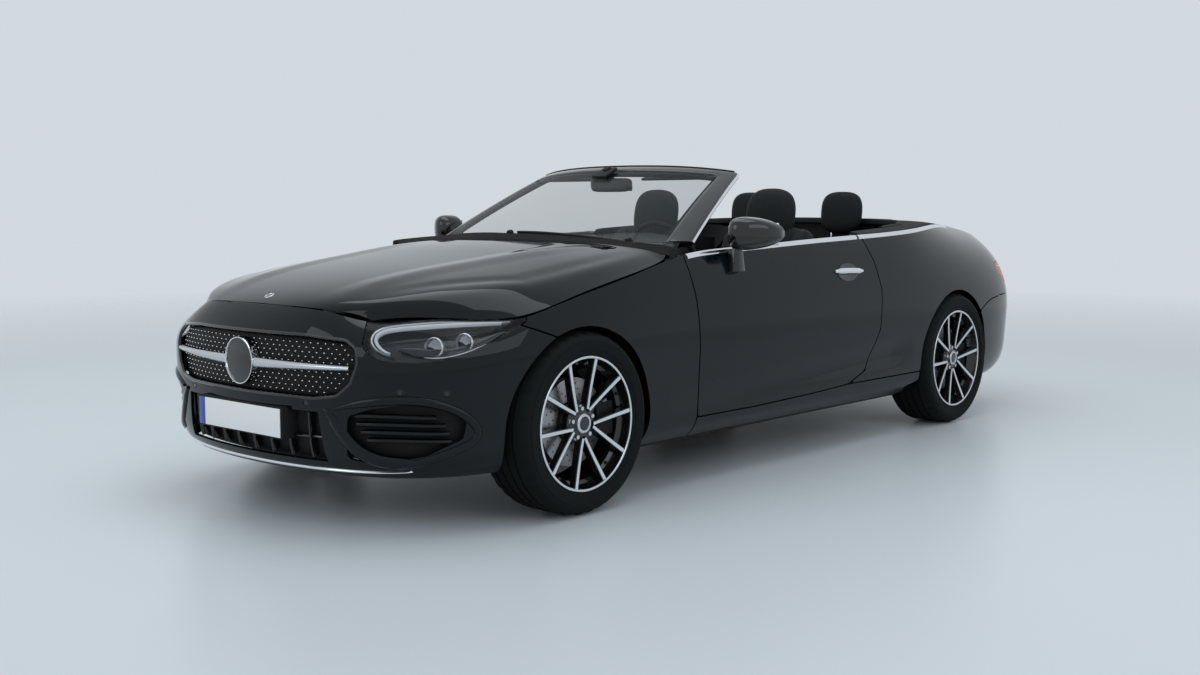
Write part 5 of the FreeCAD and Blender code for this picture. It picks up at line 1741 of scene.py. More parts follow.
@dataclass
class Screen:
    """Windscreen with its frame, bright edge, wipers and interior mirror."""

    across: float = 0.075
    up: float = 0.07

    def __post_init__(self) -> None:
        """Make the skins, whose first row is the head and whose last is the foot."""
        self.pane = Skin(screen_net(0, 0)[::-1], False)
        self.outer = Skin(screen_net(self.across, self.up)[::-1], False)
        self.wide = float(self.pane.rows.shape[1] - 1)

    def track(self, skin: Skin, side: float, head: float, bend: float = 0.5) -> tuple[np.ndarray, np.ndarray]:
        """A line up one pillar, along the header and down the other pillar.

        Args:
            skin: the skin that it lies on.
            side: its place beside the pillar's edge.
            head: its place under the header's edge.
            bend: how large its two corners are.

        Returns:
            Its points and normals.
        """
        down = np.linspace(0, skin.top, 200)
        foot = np.interp(-PILLAR_FOOT, -skin.at(np.full(200, side), down)[:, 2], down)
        rise = [(side, v) for v in np.linspace(foot, head + bend * 0.4 + 0.02, 16)]
        turn = [(side + bend * (1 - math.cos(a)), head + bend * 0.4 * (1 - math.sin(a)))
                for a in np.linspace(0.2, math.pi / 2, 7)]
        level = [(u, head) for u in np.linspace(side + bend + 0.1, self.wide / 2, 14)]
        half = np.array(rise + turn + level)
        other = half[-2::-1].copy()
        other[:, 0] = self.wide - other[:, 0]
        line = np.vstack([half, other])
        return skin.at(line[:, 0], line[:, 1]), skin.normal(line[:, 0], line[:, 1])

    def sweep(self, name: str, look: Look, outer: np.ndarray, inner: np.ndarray, normals: np.ndarray,
              high: float, low: float) -> bpy.types.Object:
        """A rounded bar between two lines.

        Args:
            name: the piece's name.
            look: its finish.
            outer: points along its outer edge.
            inner: points along its inner edge.
            normals: which way its face looks.
            high: how far it stands out.
            low: how far it reaches inwards.

        Returns:
            The new piece.
        """
        model = Model(name, (look,))
        shape = [(0.0, -0.6), (0.0, 0.1), (0.06, 0.5), (0.18, 0.85), (0.5, 1.0), (0.82, 0.9), (0.96, 0.6),
                 (1.0, 0.2), (1.0, -0.5), (0.85, -1.0), (0.15, -1.0)]
        sections = []
        for a, b, n in zip(outer, inner, normals):
            sections.append([a + (b - a) * s + n * (h * high if h > 0 else -h * -low) for s, h in shape])
        model.loft(sections)
        return model.done("chassis", sharp=70)

    def build(self) -> None:
        """Build the screen and all that is on it."""
        glass = Panel(self.pane, [], (0, self.wide), (0, self.pane.top), 0.03, -0.003).build(
            "windscreen_glass", Look.GLASS, "chassis")
        wall(glass, 0.005, 0)
        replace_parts(glass, "windscreen")
        outer, normals = self.track(self.outer, 0.02, 0.02, 0.12)
        inner, _ = self.track(self.pane, 0.30, 0.035, 0.12)
        outer, inner = outer - normals * 0.006, inner - normals * 0.006
        frame = self.sweep("windscreen_surround", Look.PIANO, outer, inner, normals, 0.005, 0.026)
        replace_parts(frame, "windscreen_frame")
        self.sweep("pillar_lining", Look.SEAL, outer * 0.6 + inner * 0.4 - normals * 0.016,
                   inner - normals * 0.012 + (inner - outer) * 0.2, normals, 0.004, 0.016)
        self.edges(outer, normals)
        self.bands()
        self.wipers()
        self.mirror()

    def edges(self, outer: np.ndarray, normals: np.ndarray) -> None:
        """Bright strips up the pillars' outer edges and a seal over the header."""
        strips = Model("pillar_bright_strips", (Look.CHROME, Look.SEAL))
        path = smooth_path(outer[:20], 60)
        face = np.array([np.interp(np.linspace(0, 19, 60), range(20), c) for c in normals[:20].T]).T
        strips.strip(path + (-0.008, -0.005, -0.003), face * (0.55, 1, 0.55) + (0, 0.75, 0.1), 0.018, 0.006)
        strips.mirror()
        middle = outer[22:-22]
        strips.strip(smooth_path(middle, 70), np.tile((-0.25, 0, 0.97), (70, 1)), 0.016, 0.006, 1)
        strips.done("chassis")

    def bands(self) -> None:
        """Dark printed bands along the glass edge."""
        band = Model("screen_band", (Look.SEAL,))
        for v, width in ((0.035, 0.05), (self.pane.top - 0.03, 0.055)):
            us = np.linspace(0.1, self.wide - 0.1, 60)
            path, normals = self.pane.at(us, np.full(60, v), -0.0095), self.pane.normal(us, np.full(60, v))
            band.strip(path, normals, width, 0.0008)
        for u in (0.10, self.wide - 0.10):
            vs = np.linspace(0.02, self.pane.top - 0.02, 30)
            path, normals = self.pane.at(np.full(30, u), vs, -0.0095), self.pane.normal(np.full(30, u), vs)
            band.strip(path, normals, 0.03, 0.0008)
        band.done("chassis")

    def wipers(self) -> None:
        """Two wiper arms with their blades, parked at the screen's foot."""
        model = Model("wipers", (Look.PLASTIC, Look.SEAL))
        for u0, u1, v0, v1 in ((0.9, 3.1, 0.985, 0.955), (3.2, 5.2, 0.985, 0.96)):
            us, vs = np.linspace(u0, u1, 24), np.linspace(v0, v1, 24) - 0.012 * np.sin(np.linspace(0, math.pi, 24))
            path, normals = self.pane.at(us, vs, 0.014), self.pane.normal(us, vs)
            model.strip(path, normals, 0.012, 0.005, 0, 0.7)
            vs = np.full(24, v1 + 0.015)
            us = np.linspace(u1 - 1.8, u1 + 0.35, 24)
            path, normals = self.pane.at(us, vs, 0.006), self.pane.normal(us, vs)
            model.strip(path, normals, 0.010, 0.007, 1, 0.6)
            foot = self.pane.at(np.array([u0]), np.array([v0]), 0.012)[0]
            model.lathe([(0.0, 0.022), (0.012, 0.020), (0.016, 0.012), (0.017, -0.014)], foot, 20, (0.3, 0, 1))
        model.done("chassis")

    def mirror(self) -> None:
        """The interior mirror with its stem and sensor cover."""
        model = Model("interior_mirror_housing", (Look.PIANO, Look.MIRROR, Look.PLASTIC))
        turn = Matrix.Rotation(math.radians(8), 3, "Y")
        model.pillow((0.378, 0, 1.228), (0.028, 0.248, 0.064), turn, 0, 5.0, 7)
        model.block((0.3635, 0, 1.226), (0.004, 0.226, 0.052), turn, 0.0015, 1)
        model.block((0.395, 0, 1.275), (0.035, 0.030, 0.075), Matrix.Rotation(math.radians(28), 3, "Y"), 0.008, 2)
        model.block((0.425, 0, 1.283), (0.10, 0.085, 0.016), Matrix.Rotation(math.radians(26), 3, "Y"), 0.007, 2)
        housing = model.done("chassis")
        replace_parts(housing, "interior_mirror")
        visors = Model("sun_visors", (Look.DASH,))
        for y in (-0.34, 0.34):
            visors.block((0.255, y, 1.268), (0.13, 0.42, 0.012), Matrix.Rotation(math.radians(14), 3, "Y"), 0.005)
        visors.done("chassis")


@dataclass
class Brightwork:
    """Belt strips, door handles, mirrors, badge blank, diffuser and tail trim."""

    skin: Skin
    hood: Skin
    count: int

    def belt_line(self, x_from: float, x_to: float, count: int, down: float) -> tuple[np.ndarray, np.ndarray]:
        """A line just under the wrap's upper edge between two places along the car."""
        us = np.linspace(8.0, 17.0, 900)
        xs = self.skin.flat(us, np.full(900, self.skin.top))[:, 0]
        us = np.interp(np.linspace(x_from, x_to, count), xs[::-1], us[::-1])
        vs = np.full(count, self.skin.top - down)
        return self.skin.at(us, vs), self.skin.normal(us, vs)

    def belts(self) -> None:
        """Bright strips along the doors and the rear quarters up to the deck."""
        for name, x0, x1, body, turn in (("belt_strip_door", 0.902, -0.388, "door_left", True),
                                         ("belt_strip_quarter", -0.404, -1.62, "chassis", False)):
            model = Model(name + "_left", (Look.CHROME, Look.SEAL))
            path, normals = self.belt_line(x0, x1, 70, 0.04)
            model.strip(path, normals + (0, 0.2, 0.5), 0.024, 0.005)
            if turn:
                model.strip(path + (0, -0.016, 0.001), normals * 0 + (0, 0, 1), 0.020, 0.004, 1)
            left = model.done(body)
            other_side(left, name + "_right", body.replace("left", "right"))

    def handles(self) -> None:
        """Door handles over their recesses."""
        model = Model("door_handle_left_bar", (Look.CHROME, Look.PLASTIC, Look.PIANO))
        line = smooth_path([(-366, 826, 0), (-320, 829, 0), (-200, 832, 0), (-136, 832, 0)], 34)[:, :2]
        path, normals = on_skin(self.skin, View.SIDE, line, (12.6, 3.9), 0.0)
        rise = 0.006 + 0.014 * np.sin(np.linspace(0, math.pi, 34))[:, None] ** 0.6
        model.strip(path + normals * rise, normals, 0.024, 0.0075, 0, 0.55)
        model.strip(path + normals * (rise - 0.008), normals, 0.020, 0.005, 2, 0.5)
        place, normal = on_skin(self.skin, View.SIDE, np.array([(-250, 826)]), (12.5, 3.9), 0.0008)
        dish = model.lathe([(0.0, 0.0012), (0.034, 0.0014), (0.0385, 0.0024), (0.0415, 0.0016), (0.042, -0.006)],
                           place[0], 44, normal[0], 2)
        for v in dish:
            v.co.x = place[0][0] + (v.co.x - place[0][0]) * 2.05
        left = model.done("door_left")
        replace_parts(left, "door_handle_left")
        right = other_side(left, "door_handle_right_bar", "door_right")
        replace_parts(right, "door_handle_right")

    @staticmethod
    def ring(count: int, power: float = 0.62) -> list[tuple[float, float]]:
        """Points round a square of half-width 1 with soft corners."""
        turns = np.linspace(0, math.tau, count, endpoint=False)
        return [(math.copysign(abs(math.cos(a)) ** power, math.cos(a)),
                 math.copysign(abs(math.sin(a)) ** power, math.sin(a))) for a in turns]

    def mirrors(self) -> None:
        """Door mirrors with their feet, seams and glass."""
        model = Model("door_mirror_left_housing", (Look.PIANO, Look.MIRROR, Look.PLASTIC))
        sections = []
        for t in np.linspace(0, 1, 23):
            swell = max((1 - abs(2 * t - 1) ** 2.8) ** 0.5, 0.12)
            high, low = 1.090 - 0.024 * t * t, 0.937 + 0.030 * t
            front, back = 0.672 - 0.03 * t - 0.09 * t ** 3, 0.530 - 0.072 * t
            thick = (front - back) * (0.40 + 0.60 * swell)
            sections.append([(back + thick / 2 * (1 + px), 0.853 + 0.174 * t,
                              (high + low) / 2 + pz * (high - low) / 2 * (0.25 + 0.75 * swell))
                             for px, pz in self.ring(30)])
        model.loft(sections)
        model.block((0.4925, 0.938, 1.014), (0.006, 0.138, 0.092), Matrix.Rotation(math.radians(23), 3, "Z"),
                    0.0025, 1)
        seam = np.array([section[27] for section in sections[2:-2]])
        model.strip(seam, np.tile((1, 0.3, 0), (len(seam), 1)), 0.004, 0.0015, 2)
        model.loft([[(0.604 + px * 0.040 * (1 - 0.3 * t), 0.882 + py * 0.033 * (1 - 0.25 * t), 0.862 + 0.090 * t)
                     for px, py in self.ring(24)] for t in np.linspace(0, 1, 5)])
        left = model.done("door_left", sharp=50)
        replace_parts(left, "door_mirror_left")
        right = other_side(left, "door_mirror_right_housing", "door_right")
        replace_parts(right, "door_mirror_right")

    def tail(self) -> None:
        """Tail lamps, diffuser, bright tail strip, reflectors and exhaust trims."""
        cover = Panel(self.skin, [outline(View.TAIL_CORNER, TAIL_LAMP, gap=2.0)], (16.5, 22.2),
                      (2.4, self.skin.top), 0.011).build("tail_lamp_cover_left", Look.RED, "chassis")
        wall(cover, 0.02)
        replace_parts(cover, "tail_lamps")
        other_side(cover, "tail_lamp_cover_right", "chassis")
        bars = Model("tail_lamp_bars", (Look.PIANO, Look.LAMP_SILVER))
        for z, s0, s1, look in ((742, 680, 1035, 0), (716, 700, 990, 1), (790, 690, 1040, 1)):
            line = np.array([(s, z + (s - 860) * 0.02) for s in np.linspace(s0, s1, 30)])
            path, normals = on_skin(self.skin, View.TAIL_CORNER, line, (20.0, 4.4), 0.0004)
            bars.strip(path, normals, 0.005, 0.0012, look)
        bars.mirror()
        bars.done("chassis")
        diffuser = Panel(self.skin, [outline(View.FRONT, [(-640, 212), (-560, 345), (560, 345), (640, 212)])],
                         (19.6, self.count - 19.6), (0, 2.6), 0.016, 0.0015).build("diffuser", Look.PLASTIC, "chassis")
        wall(diffuser, 0.004)
        strip = Model("tail_strip", (Look.CHROME, Look.RED, Look.PIANO))
        line = np.array([(y, 352 - abs(y) * 0.02) for y in np.linspace(-600, 600, 80)])
        path, normals = on_skin(self.skin, View.FRONT, line[:40], (24.8, 1.6), 0.001)
        strip.strip(np.vstack([path, path[::-1] * (1, -1, 1)]), np.vstack([normals, normals[::-1] * (1, -1, 1)]), 0.010,
                    0.005)
        line = np.array([(y, 420) for y in np.linspace(470, 640, 16)])
        path, normals = on_skin(self.skin, View.FRONT, line, (19.8, 2.0), 0.0006)
        strip.strip(path, normals, 0.018, 0.002, 1, 0.6)
        strip.strip(path * (1, -1, 1), normals * (1, -1, 1), 0.018, 0.002, 1, 0.6)
        strip.done("chassis")
        fins = Model("diffuser_fins", (Look.PLASTIC,))
        for y in (-0.30, -0.15, 0.0, 0.15, 0.30):
            fins.block((-2.335, y, 0.262), (0.12, 0.010, 0.085), None, 0.003)
        fins.done("chassis")
        tips = Model("exhaust_frames", (Look.CHROME, Look.PLASTIC))
        for y in (-0.51, 0.51):
            tips.block((-2.3775, y, 0.290), (0.006, 0.168, 0.062), None, 0.0028)
            tips.block((-2.3802, y, 0.290), (0.003, 0.138, 0.038), None, 0.001, 1)
        tips.done("chassis")

    def badge(self) -> None:
        """A plain round disc on the bonnet's front edge."""
        model = Model("bonnet_disc", (Look.PIANO, Look.CHROME))
        spot = np.array([0.35]), np.array([self.hood.top / 2])
        place, normal = self.hood.at(*spot), self.hood.normal(*spot)
        model.lathe([(0.0, 0.0014), (0.014, 0.0014), (0.0150, 0.0002)], place[0], 32, normal[0])
        model.lathe([(0.0150, 0.0008), (0.0158, 0.0020), (0.0175, 0.0018), (0.0182, 0.0002), (0.0184, -0.002)],
                    place[0], 32, normal[0], 1)
        model.done("hood")

    def build(self) -> None:
        """Build all of it."""
        self.belts()
        self.handles()
        self.mirrors()
        self.tail()
        self.badge()


@dataclass
class Cabin:
    """Seats, dashboard, steering wheel, console, door cards, carpet and rear trims."""

    skin: Skin
    deck: Skin

    def roll(self, model: Model, spot: Sequence[float], size: Sequence[float], turn: Matrix, count: int,
             up: bool, fill: float = 1.0) -> None:
        """A panel made of pads side by side.

        Args:
            model: where it goes.
            spot: its middle.
            size: its whole size.
            turn: its rotation.
            count: how many pads.
            up: whether they follow one another upwards rather than forwards.
            fill: how much of its share each pad fills.
        """
        for i in range(count):
            share = (i + 0.5) / count - 0.5
            offset = Vector((0, 0, share * size[2])) if up else Vector((share * size[0], 0, 0))
            part = (size[0], size[1], size[2] / count * fill) if up else (size[0] / count * fill, size[1], size[2])
            model.pillow(Vector(spot) + turn @ offset, part, turn, 0, 3.4, 6)

    def front_seat(self) -> None:
        """The left front seat and its mirror image."""
        y = 0.365
        model = Model("front_seat_left_cushions", (Look.LEATHER, Look.THREAD))
        lean = Matrix.Rotation(math.radians(-16.6), 3, "Y")
        flat = Matrix.Rotation(math.radians(-3.5), 3, "Y")
        self.roll(model, (0.085, y, 0.402), (0.54, 0.315, 0.135), flat, 5, False, 1.07)
        for side in (-1, 1):
            model.pillow((0.070, y + side * 0.199, 0.410), (0.585, 0.102, 0.165), flat, 0, 3.6, 8)
            model.pillow((-0.325, y + side * 0.199, 0.745), (0.150, 0.102, 0.560), lean, 0, 3.6, 8)
        self.roll(model, (-0.330, y, 0.720), (0.118, 0.315, 0.500), lean, 5, True, 1.10)
        model.pillow((-0.398, y, 0.965), (0.104, 0.44, 0.130), lean, 0, 3.0, 8)
        head = Matrix.Rotation(math.radians(-9), 3, "Y")
        model.pillow((-0.400, y, 1.082), (0.112, 0.272, 0.272), head, 0, 2.8, 9)
        for side in (-1, 1):
            for path in ([(0.35, 0.476), (0.22, 0.477), (0.02, 0.466), (-0.16, 0.450)],
                         [(-0.205, 0.56), (-0.245, 0.70), (-0.288, 0.84), (-0.318, 0.93)]):
                line = smooth_path([(a, y + side * 0.156, b) for a, b in path], 24)
                way = (0, 0, 1) if path[0][0] > 0 else (1, 0, 0.3)
                model.strip(line, np.tile(way, (24, 1)), 0.004, 0.002, 1)
        seat = model.done("chassis", sharp=180)
        self.soften(seat)
        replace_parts(seat, "front_seat_left")
        right = other_side(seat, "front_seat_right_cushions", "chassis")
        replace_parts(right, "front_seat_right")
        base = Model("front_seat_bases", (Look.PLASTIC, Look.SATIN))
        base.block((0.060, y, 0.315), (0.56, 0.46, 0.05), None, 0.014, 0, 3)
        base.block((-0.360, y, 0.72), (0.035, 0.42, 0.50), Matrix.Rotation(math.radians(-15), 3, "Y"), 0.014, 0, 3)
        base.block((-0.24, y + 0.235, 0.39), (0.14, 0.022, 0.11), None, 0.009)
        base.block((-0.24, y - 0.235, 0.39), (0.14, 0.022, 0.11), None, 0.009)
        for side in (-1, 1):
            base.block((0.03, y + side * 0.16, 0.235), (0.50, 0.045, 0.05), None, 0.004, 1)
        base.mirror()
        base.done("chassis")

    @staticmethod
    def soften(piece: bpy.types.Object) -> None:
        """Round a cushion's mesh once more."""
        layer = piece.modifiers.new("soften", "SUBSURF")
        layer.levels = layer.render_levels = 1

    def rear_seat(self) -> None:
        """The rear bench with two places and their headrests."""
        model = Model("rear_seat_cushions", (Look.LEATHER, Look.THREAD))
        lean = Matrix.Rotation(math.radians(-6), 3, "Y")
        for y in (-0.228, 0.228):
            self.roll(model, (-0.975, y, 0.490), (0.27, 0.30, 0.11), Matrix.Identity(3), 3, False, 1.08)
            self.roll(model, (-1.150, y, 0.735), (0.115, 0.30, 0.36), lean, 4, True, 1.1)
            for side in (-1, 1):
                model.pillow((-0.975, y + side * 0.178, 0.495), (0.28, 0.085, 0.118), Matrix.Identity(3), 0, 3.6, 7)
                model.pillow((-1.148, y + side * 0.178, 0.735), (0.125, 0.085, 0.38), lean, 0, 3.6, 7)
        for y in (-0.30, 0.30):
            model.pillow((-1.167, y, 1.095), (0.075, 0.245, 0.225), Matrix.Rotation(math.radians(-5), 3, "Y"), 0,
                         3.0, 9)
        model.pillow((-1.15, 0, 0.70), (0.10, 0.055, 0.40), lean, 0, 3.6, 6)
        seat = model.done("chassis", sharp=180)
        self.soften(seat)
        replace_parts(seat, "rear_seat")
        posts = Model("rear_headrest_posts", (Look.SATIN, Look.PLASTIC))
        for y in (-0.36, -0.24, 0.24, 0.36):
            posts.block((-1.168, y, 0.950), (0.012, 0.012, 0.08), None, 0.004)
        posts.block((-1.19, 0, 0.922), (0.09, 0.90, 0.016), None, 0.006, 1)
        posts.done("chassis")

    def dash(self) -> None:
        """The dashboard with its displays, vents and trim."""
        model = Model("dashboard_top", (Look.DASH, Look.SATIN, Look.PIANO))
        profile = [(1034, 560), (1034, 918), (960, 940), (760, 934), (662, 913), (606, 868), (592, 790),
                   (658, 722), (800, 690), (860, 560)]
        ring = rounded(profile, 45, 6)
        ys = np.concatenate([[-0.687, -0.683], np.linspace(-0.67, 0.67, 15), [0.683, 0.687]])
        sections = []
        for y in ys:
            shrink = 0.012 if abs(y) > 0.685 else (0.004 if abs(y) > 0.68 else 0.0)
            sections.append([(x / 1000 - shrink * (1 if x < 700 else 0), y, z / 1000 - (shrink if z > 850 else 0))
                             for x, z in ring])
        model.loft(sections)
        for z, look in ((0.842, 1), (0.790, 2)):
            path = [(0.601 - (0.842 - z) * 0.10, y, z) for y in np.linspace(-0.66, 0.66, 30)]
            model.strip(np.array(path), np.tile((-1, 0, 0.1), (30, 1)), 0.008 if look == 1 else 0.045, 0.004, look)
        for y, z in ((0, 0.868), (0.1, 0.868), (-0.1, 0.868), (0.60, 0.862), (-0.60, 0.862)):
            axis = (-0.9, 0, 0.35)
            model.lathe([(0.034, -0.004), (0.038, 0.012), (0.042, 0.012), (0.043, -0.006)], (0.612, y, z), 32, axis, 1)
            model.lathe([(0.0, 0.004), (0.033, 0.002), (0.034, -0.01)], (0.612, y, z), 32, axis, 2)
        top = model.done("chassis", sharp=40)
        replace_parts(top, "dashboard")
        screens = Model("displays", (Look.PIANO, Look.SCREEN, Look.SATIN))
        lean = Matrix.Rotation(math.radians(-22), 3, "Y")
        screens.block((0.592, 0.365, 0.915), (0.016, 0.300, 0.112), Matrix.Rotation(math.radians(-14), 3, "Y"), 0.006)
        screens.block((0.583, 0.365, 0.917), (0.003, 0.280, 0.096), Matrix.Rotation(math.radians(-14), 3, "Y"), 0.001, 1)
        screens.block((0.572, 0.0, 0.735), (0.018, 0.215, 0.240), lean, 0.008)
        screens.block((0.562, 0.0, 0.738), (0.003, 0.200, 0.222), lean, 0.001, 1)
        screens.done("chassis")

    def steering(self) -> None:
        """The steering wheel with its column and stalks."""
        middle, axis = Vector((0.430, 0.365, 0.880)), Vector((-0.9272, 0, 0.3746))
        model = Model("steering_wheel_rim", (Look.LEATHER, Look.SATIN, Look.PIANO))
        ring = [(0.185 + 0.0135 * math.cos(a), 0.0135 * math.sin(a)) for a in np.linspace(0, math.tau, 15)]
        model.lathe(ring[:-1] + ring[:1], middle, 64, axis)
        model.lathe([(0.0, 0.016), (0.035, 0.015), (0.054, 0.008), (0.061, -0.004), (0.061, -0.04), (0.0, -0.044)],
                    middle, 40, axis)
        model.lathe([(0.0, 0.0172), (0.017, 0.0165), (0.019, 0.014)], middle, 28, axis, 2)
        up = Vector((0.3746, 0, 0.9272))
        side = Vector((0, 1, 0))
        for way, width in ((side, 0.046), (-side, 0.046), (-up, 0.036)):
            across = axis.cross(way).normalized()
            sections = []
            for t in np.linspace(0.05, 0.176, 6):
                half = width / 2 * (1.15 - 2.2 * (t - 0.05))
                sections.append([middle + way * t + across * a * half + axis * h for a, h in
                                 ((-1, -0.006), (-0.8, 0.006), (0.8, 0.006), (1, -0.006), (0.8, -0.010), (-0.8, -0.010))])
            model.loft(sections, index=1)
        model.lathe([(0.034, -0.30), (0.036, -0.10), (0.046, -0.07), (0.040, -0.045), (0.0, -0.044)], middle, 28, axis, 2)
        for way in (side, -side):
            sections = [[middle - axis * 0.075 + way * (0.03 + 0.10 * t) + up * (0.03 * t + a * 0.007) + axis * b * 0.006
                         for a, b in ((-1, -1), (-1, 1), (1, 1), (1, -1))] for t in np.linspace(0, 1, 5)]
            model.loft(sections, index=2)
        wheel = model.done("chassis", sharp=50)
        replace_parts(wheel, "steering_wheel")

    def console(self) -> None:
        """The centre console with armrest, cup holders and controls."""
        model = Model("centre_console_body", (Look.DASH, Look.PIANO, Look.SATIN, Look.LEATHER))
        profile = [(588, 206), (588, 690), (540, 652), (470, 512), (100, 492), (-60, 496), (-340, 496), (-358, 480),
                   (-358, 206)]
        ring = rounded(profile, 18, 4)
        sections = []
        for y, shrink in ((-0.109, 0.006), (-0.106, 0.0015), (-0.10, 0), (0, 0), (0.10, 0), (0.106, 0.0015),
                          (0.109, 0.006)):
            sections.append([(x / 1000, y, z / 1000 - (shrink if z > 300 else 0)) for x, z in ring])
        model.loft(sections)
        path = np.array([(x, 0, z) for x, z in ((0.533, 0.650), (0.50, 0.585), (0.467, 0.522), (0.40, 0.512),
                                               (0.25, 0.505), (0.10, 0.498), (-0.04, 0.500))])
        line = smooth_path(path, 50)
        slope = np.gradient(line, axis=0)
        normals = np.stack([-slope[:, 2], np.zeros(50), slope[:, 0]], 1)
        normals *= np.sign(normals[:, 2:3] + 1e-9)
        model.strip(line, normals, 0.175, 0.004, 1, 1.0)
        for x in (0.33, 0.235):
            model.lathe([(0.030, 0.004), (0.036, 0.007), (0.040, 0.007), (0.042, 0.003)], (x, 0.0, 0.508), 36,
                        (-0.05, 0, 1), 2)
            model.lathe([(0.0, 0.0035), (0.0295, 0.0035), (0.0300, 0.0055)], (x, 0.0, 0.506), 30, (-0.05, 0, 1), 0)
        model.block((0.085, 0.0, 0.508), (0.075, 0.085, 0.014), None, 0.005, 2)
        for side in (-1, 1):
            model.pillow((-0.20, side * 0.052, 0.512), (0.27, 0.101, 0.056), Matrix.Identity(3), 3, 4.0, 7)
        body = model.done("chassis", sharp=50)
        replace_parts(body, "centre_console")

    def doors(self) -> None:
        """Inner door cards with their armrests, pulls and speakers."""
        shape = rounded(DOOR, 34)
        card = Panel(self.skin, [outline(View.SIDE, shape, gap=16)], (9.0, 14.6), (0.6, self.skin.top), 0.03,
                     -0.034).build("door_card_left", Look.DASH, "door_left")
        wall(card, 0.05, 0.008)
        other_side(card, "door_card_right", "door_right")
        model = Model("door_furniture_left", (Look.LEATHER, Look.SATIN, Look.PLASTIC, Look.PIANO))
        model.pillow((0.02, 0.812, 0.640), (0.66, 0.075, 0.060), Matrix.Rotation(math.radians(3), 3, "Y"), 0, 4.0, 10)
        model.pillow((0.10, 0.818, 0.790), (0.90, 0.040, 0.085), Matrix.Rotation(math.radians(2), 3, "Y"), 0, 4.0, 10)
        model.strip(np.array([(x, 0.799, 0.722 - 0.02 * x) for x in np.linspace(-0.34, 0.56, 30)]),
                    np.tile((0, -1, 0), (30, 1)), 0.014, 0.004, 1, 0.4)
        model.block((0.42, 0.802, 0.760), (0.11, 0.012, 0.024), None, 0.004, 1)
        model.block((0.18, 0.797, 0.682), (0.20, 0.020, 0.022), None, 0.008, 1)
        model.lathe([(0.0, 0.008), (0.060, 0.006), (0.078, 0.003), (0.080, -0.012)], (0.56, 0.822, 0.48), 44, (0, -1, 0),
                    2)
        model.lathe([(0.080, -0.01), (0.081, 0.006), (0.085, 0.006), (0.086, -0.01)], (0.56, 0.822, 0.48), 44,
                    (0, -1, 0), 1)
        model.block((0.06, 0.815, 0.40), (0.60, 0.045, 0.12), None, 0.015, 2)
        left = model.done("door_left", sharp=50)
        other_side(left, "door_furniture_right", "door_right")

    def floor(self) -> None:
        """Carpet, mats, pedals and the well's rim."""
        model = Model("carpet", (Look.CARPET, Look.SEAL, Look.SATIN))
        model.block((0.115, 0, 0.209), (1.80, 1.36, 0.012), None, 0.004)
        model.block((-1.015, 0, 0.431), (0.43, 0.89, 0.010), None, 0.004)
        model.block((-0.797, 0, 0.315), (0.008, 1.30, 0.22), None, 0.003)
        for y in (-0.365, 0.365):
            model.block((0.66, y, 0.222), (0.52, 0.44, 0.012), None, 0.005)
        model.done("chassis")
        pedals = Model("pedals", (Look.SATIN, Look.SEAL))
        for y, wide in ((0.43, 0.075), (0.30, 0.045)):
            turn = Matrix.Rotation(math.radians(-50), 3, "Y")
            pedals.block((0.93, y, 0.36), (0.012, wide, 0.085), turn, 0.004)
            pedals.block((0.97, y, 0.45), (0.014, 0.016, 0.22), Matrix.Rotation(math.radians(-20), 3, "Y"), 0.003, 1)
        pedals.done("chassis")
        rim = Model("cabin_rim", (Look.LEATHER, Look.SEAL))
        well = [p for p in rounded(CABIN, 60, 5) if p[0] < -460]
        line = smooth_path([(x, y, 0) for x, y in well], 90)
        path, normals = on_skin(self.deck, View.TOP, line[:45, :2], (0.65, 0.3), -0.006)
        other = path[::-1] * (1, -1, 1)
        loop = np.vstack([path, other])
        faces = np.vstack([normals, normals[::-1] * (1, -1, 1)])
        rim.strip(loop, faces, 0.030, 0.014)
        rim.done("roof_cover")

    def build(self) -> None:
        """Build the whole cabin."""
        self.front_seat()
        self.rear_seat()
        self.dash()
        self.steering()
        self.console()
        self.doors()
        self.floor()


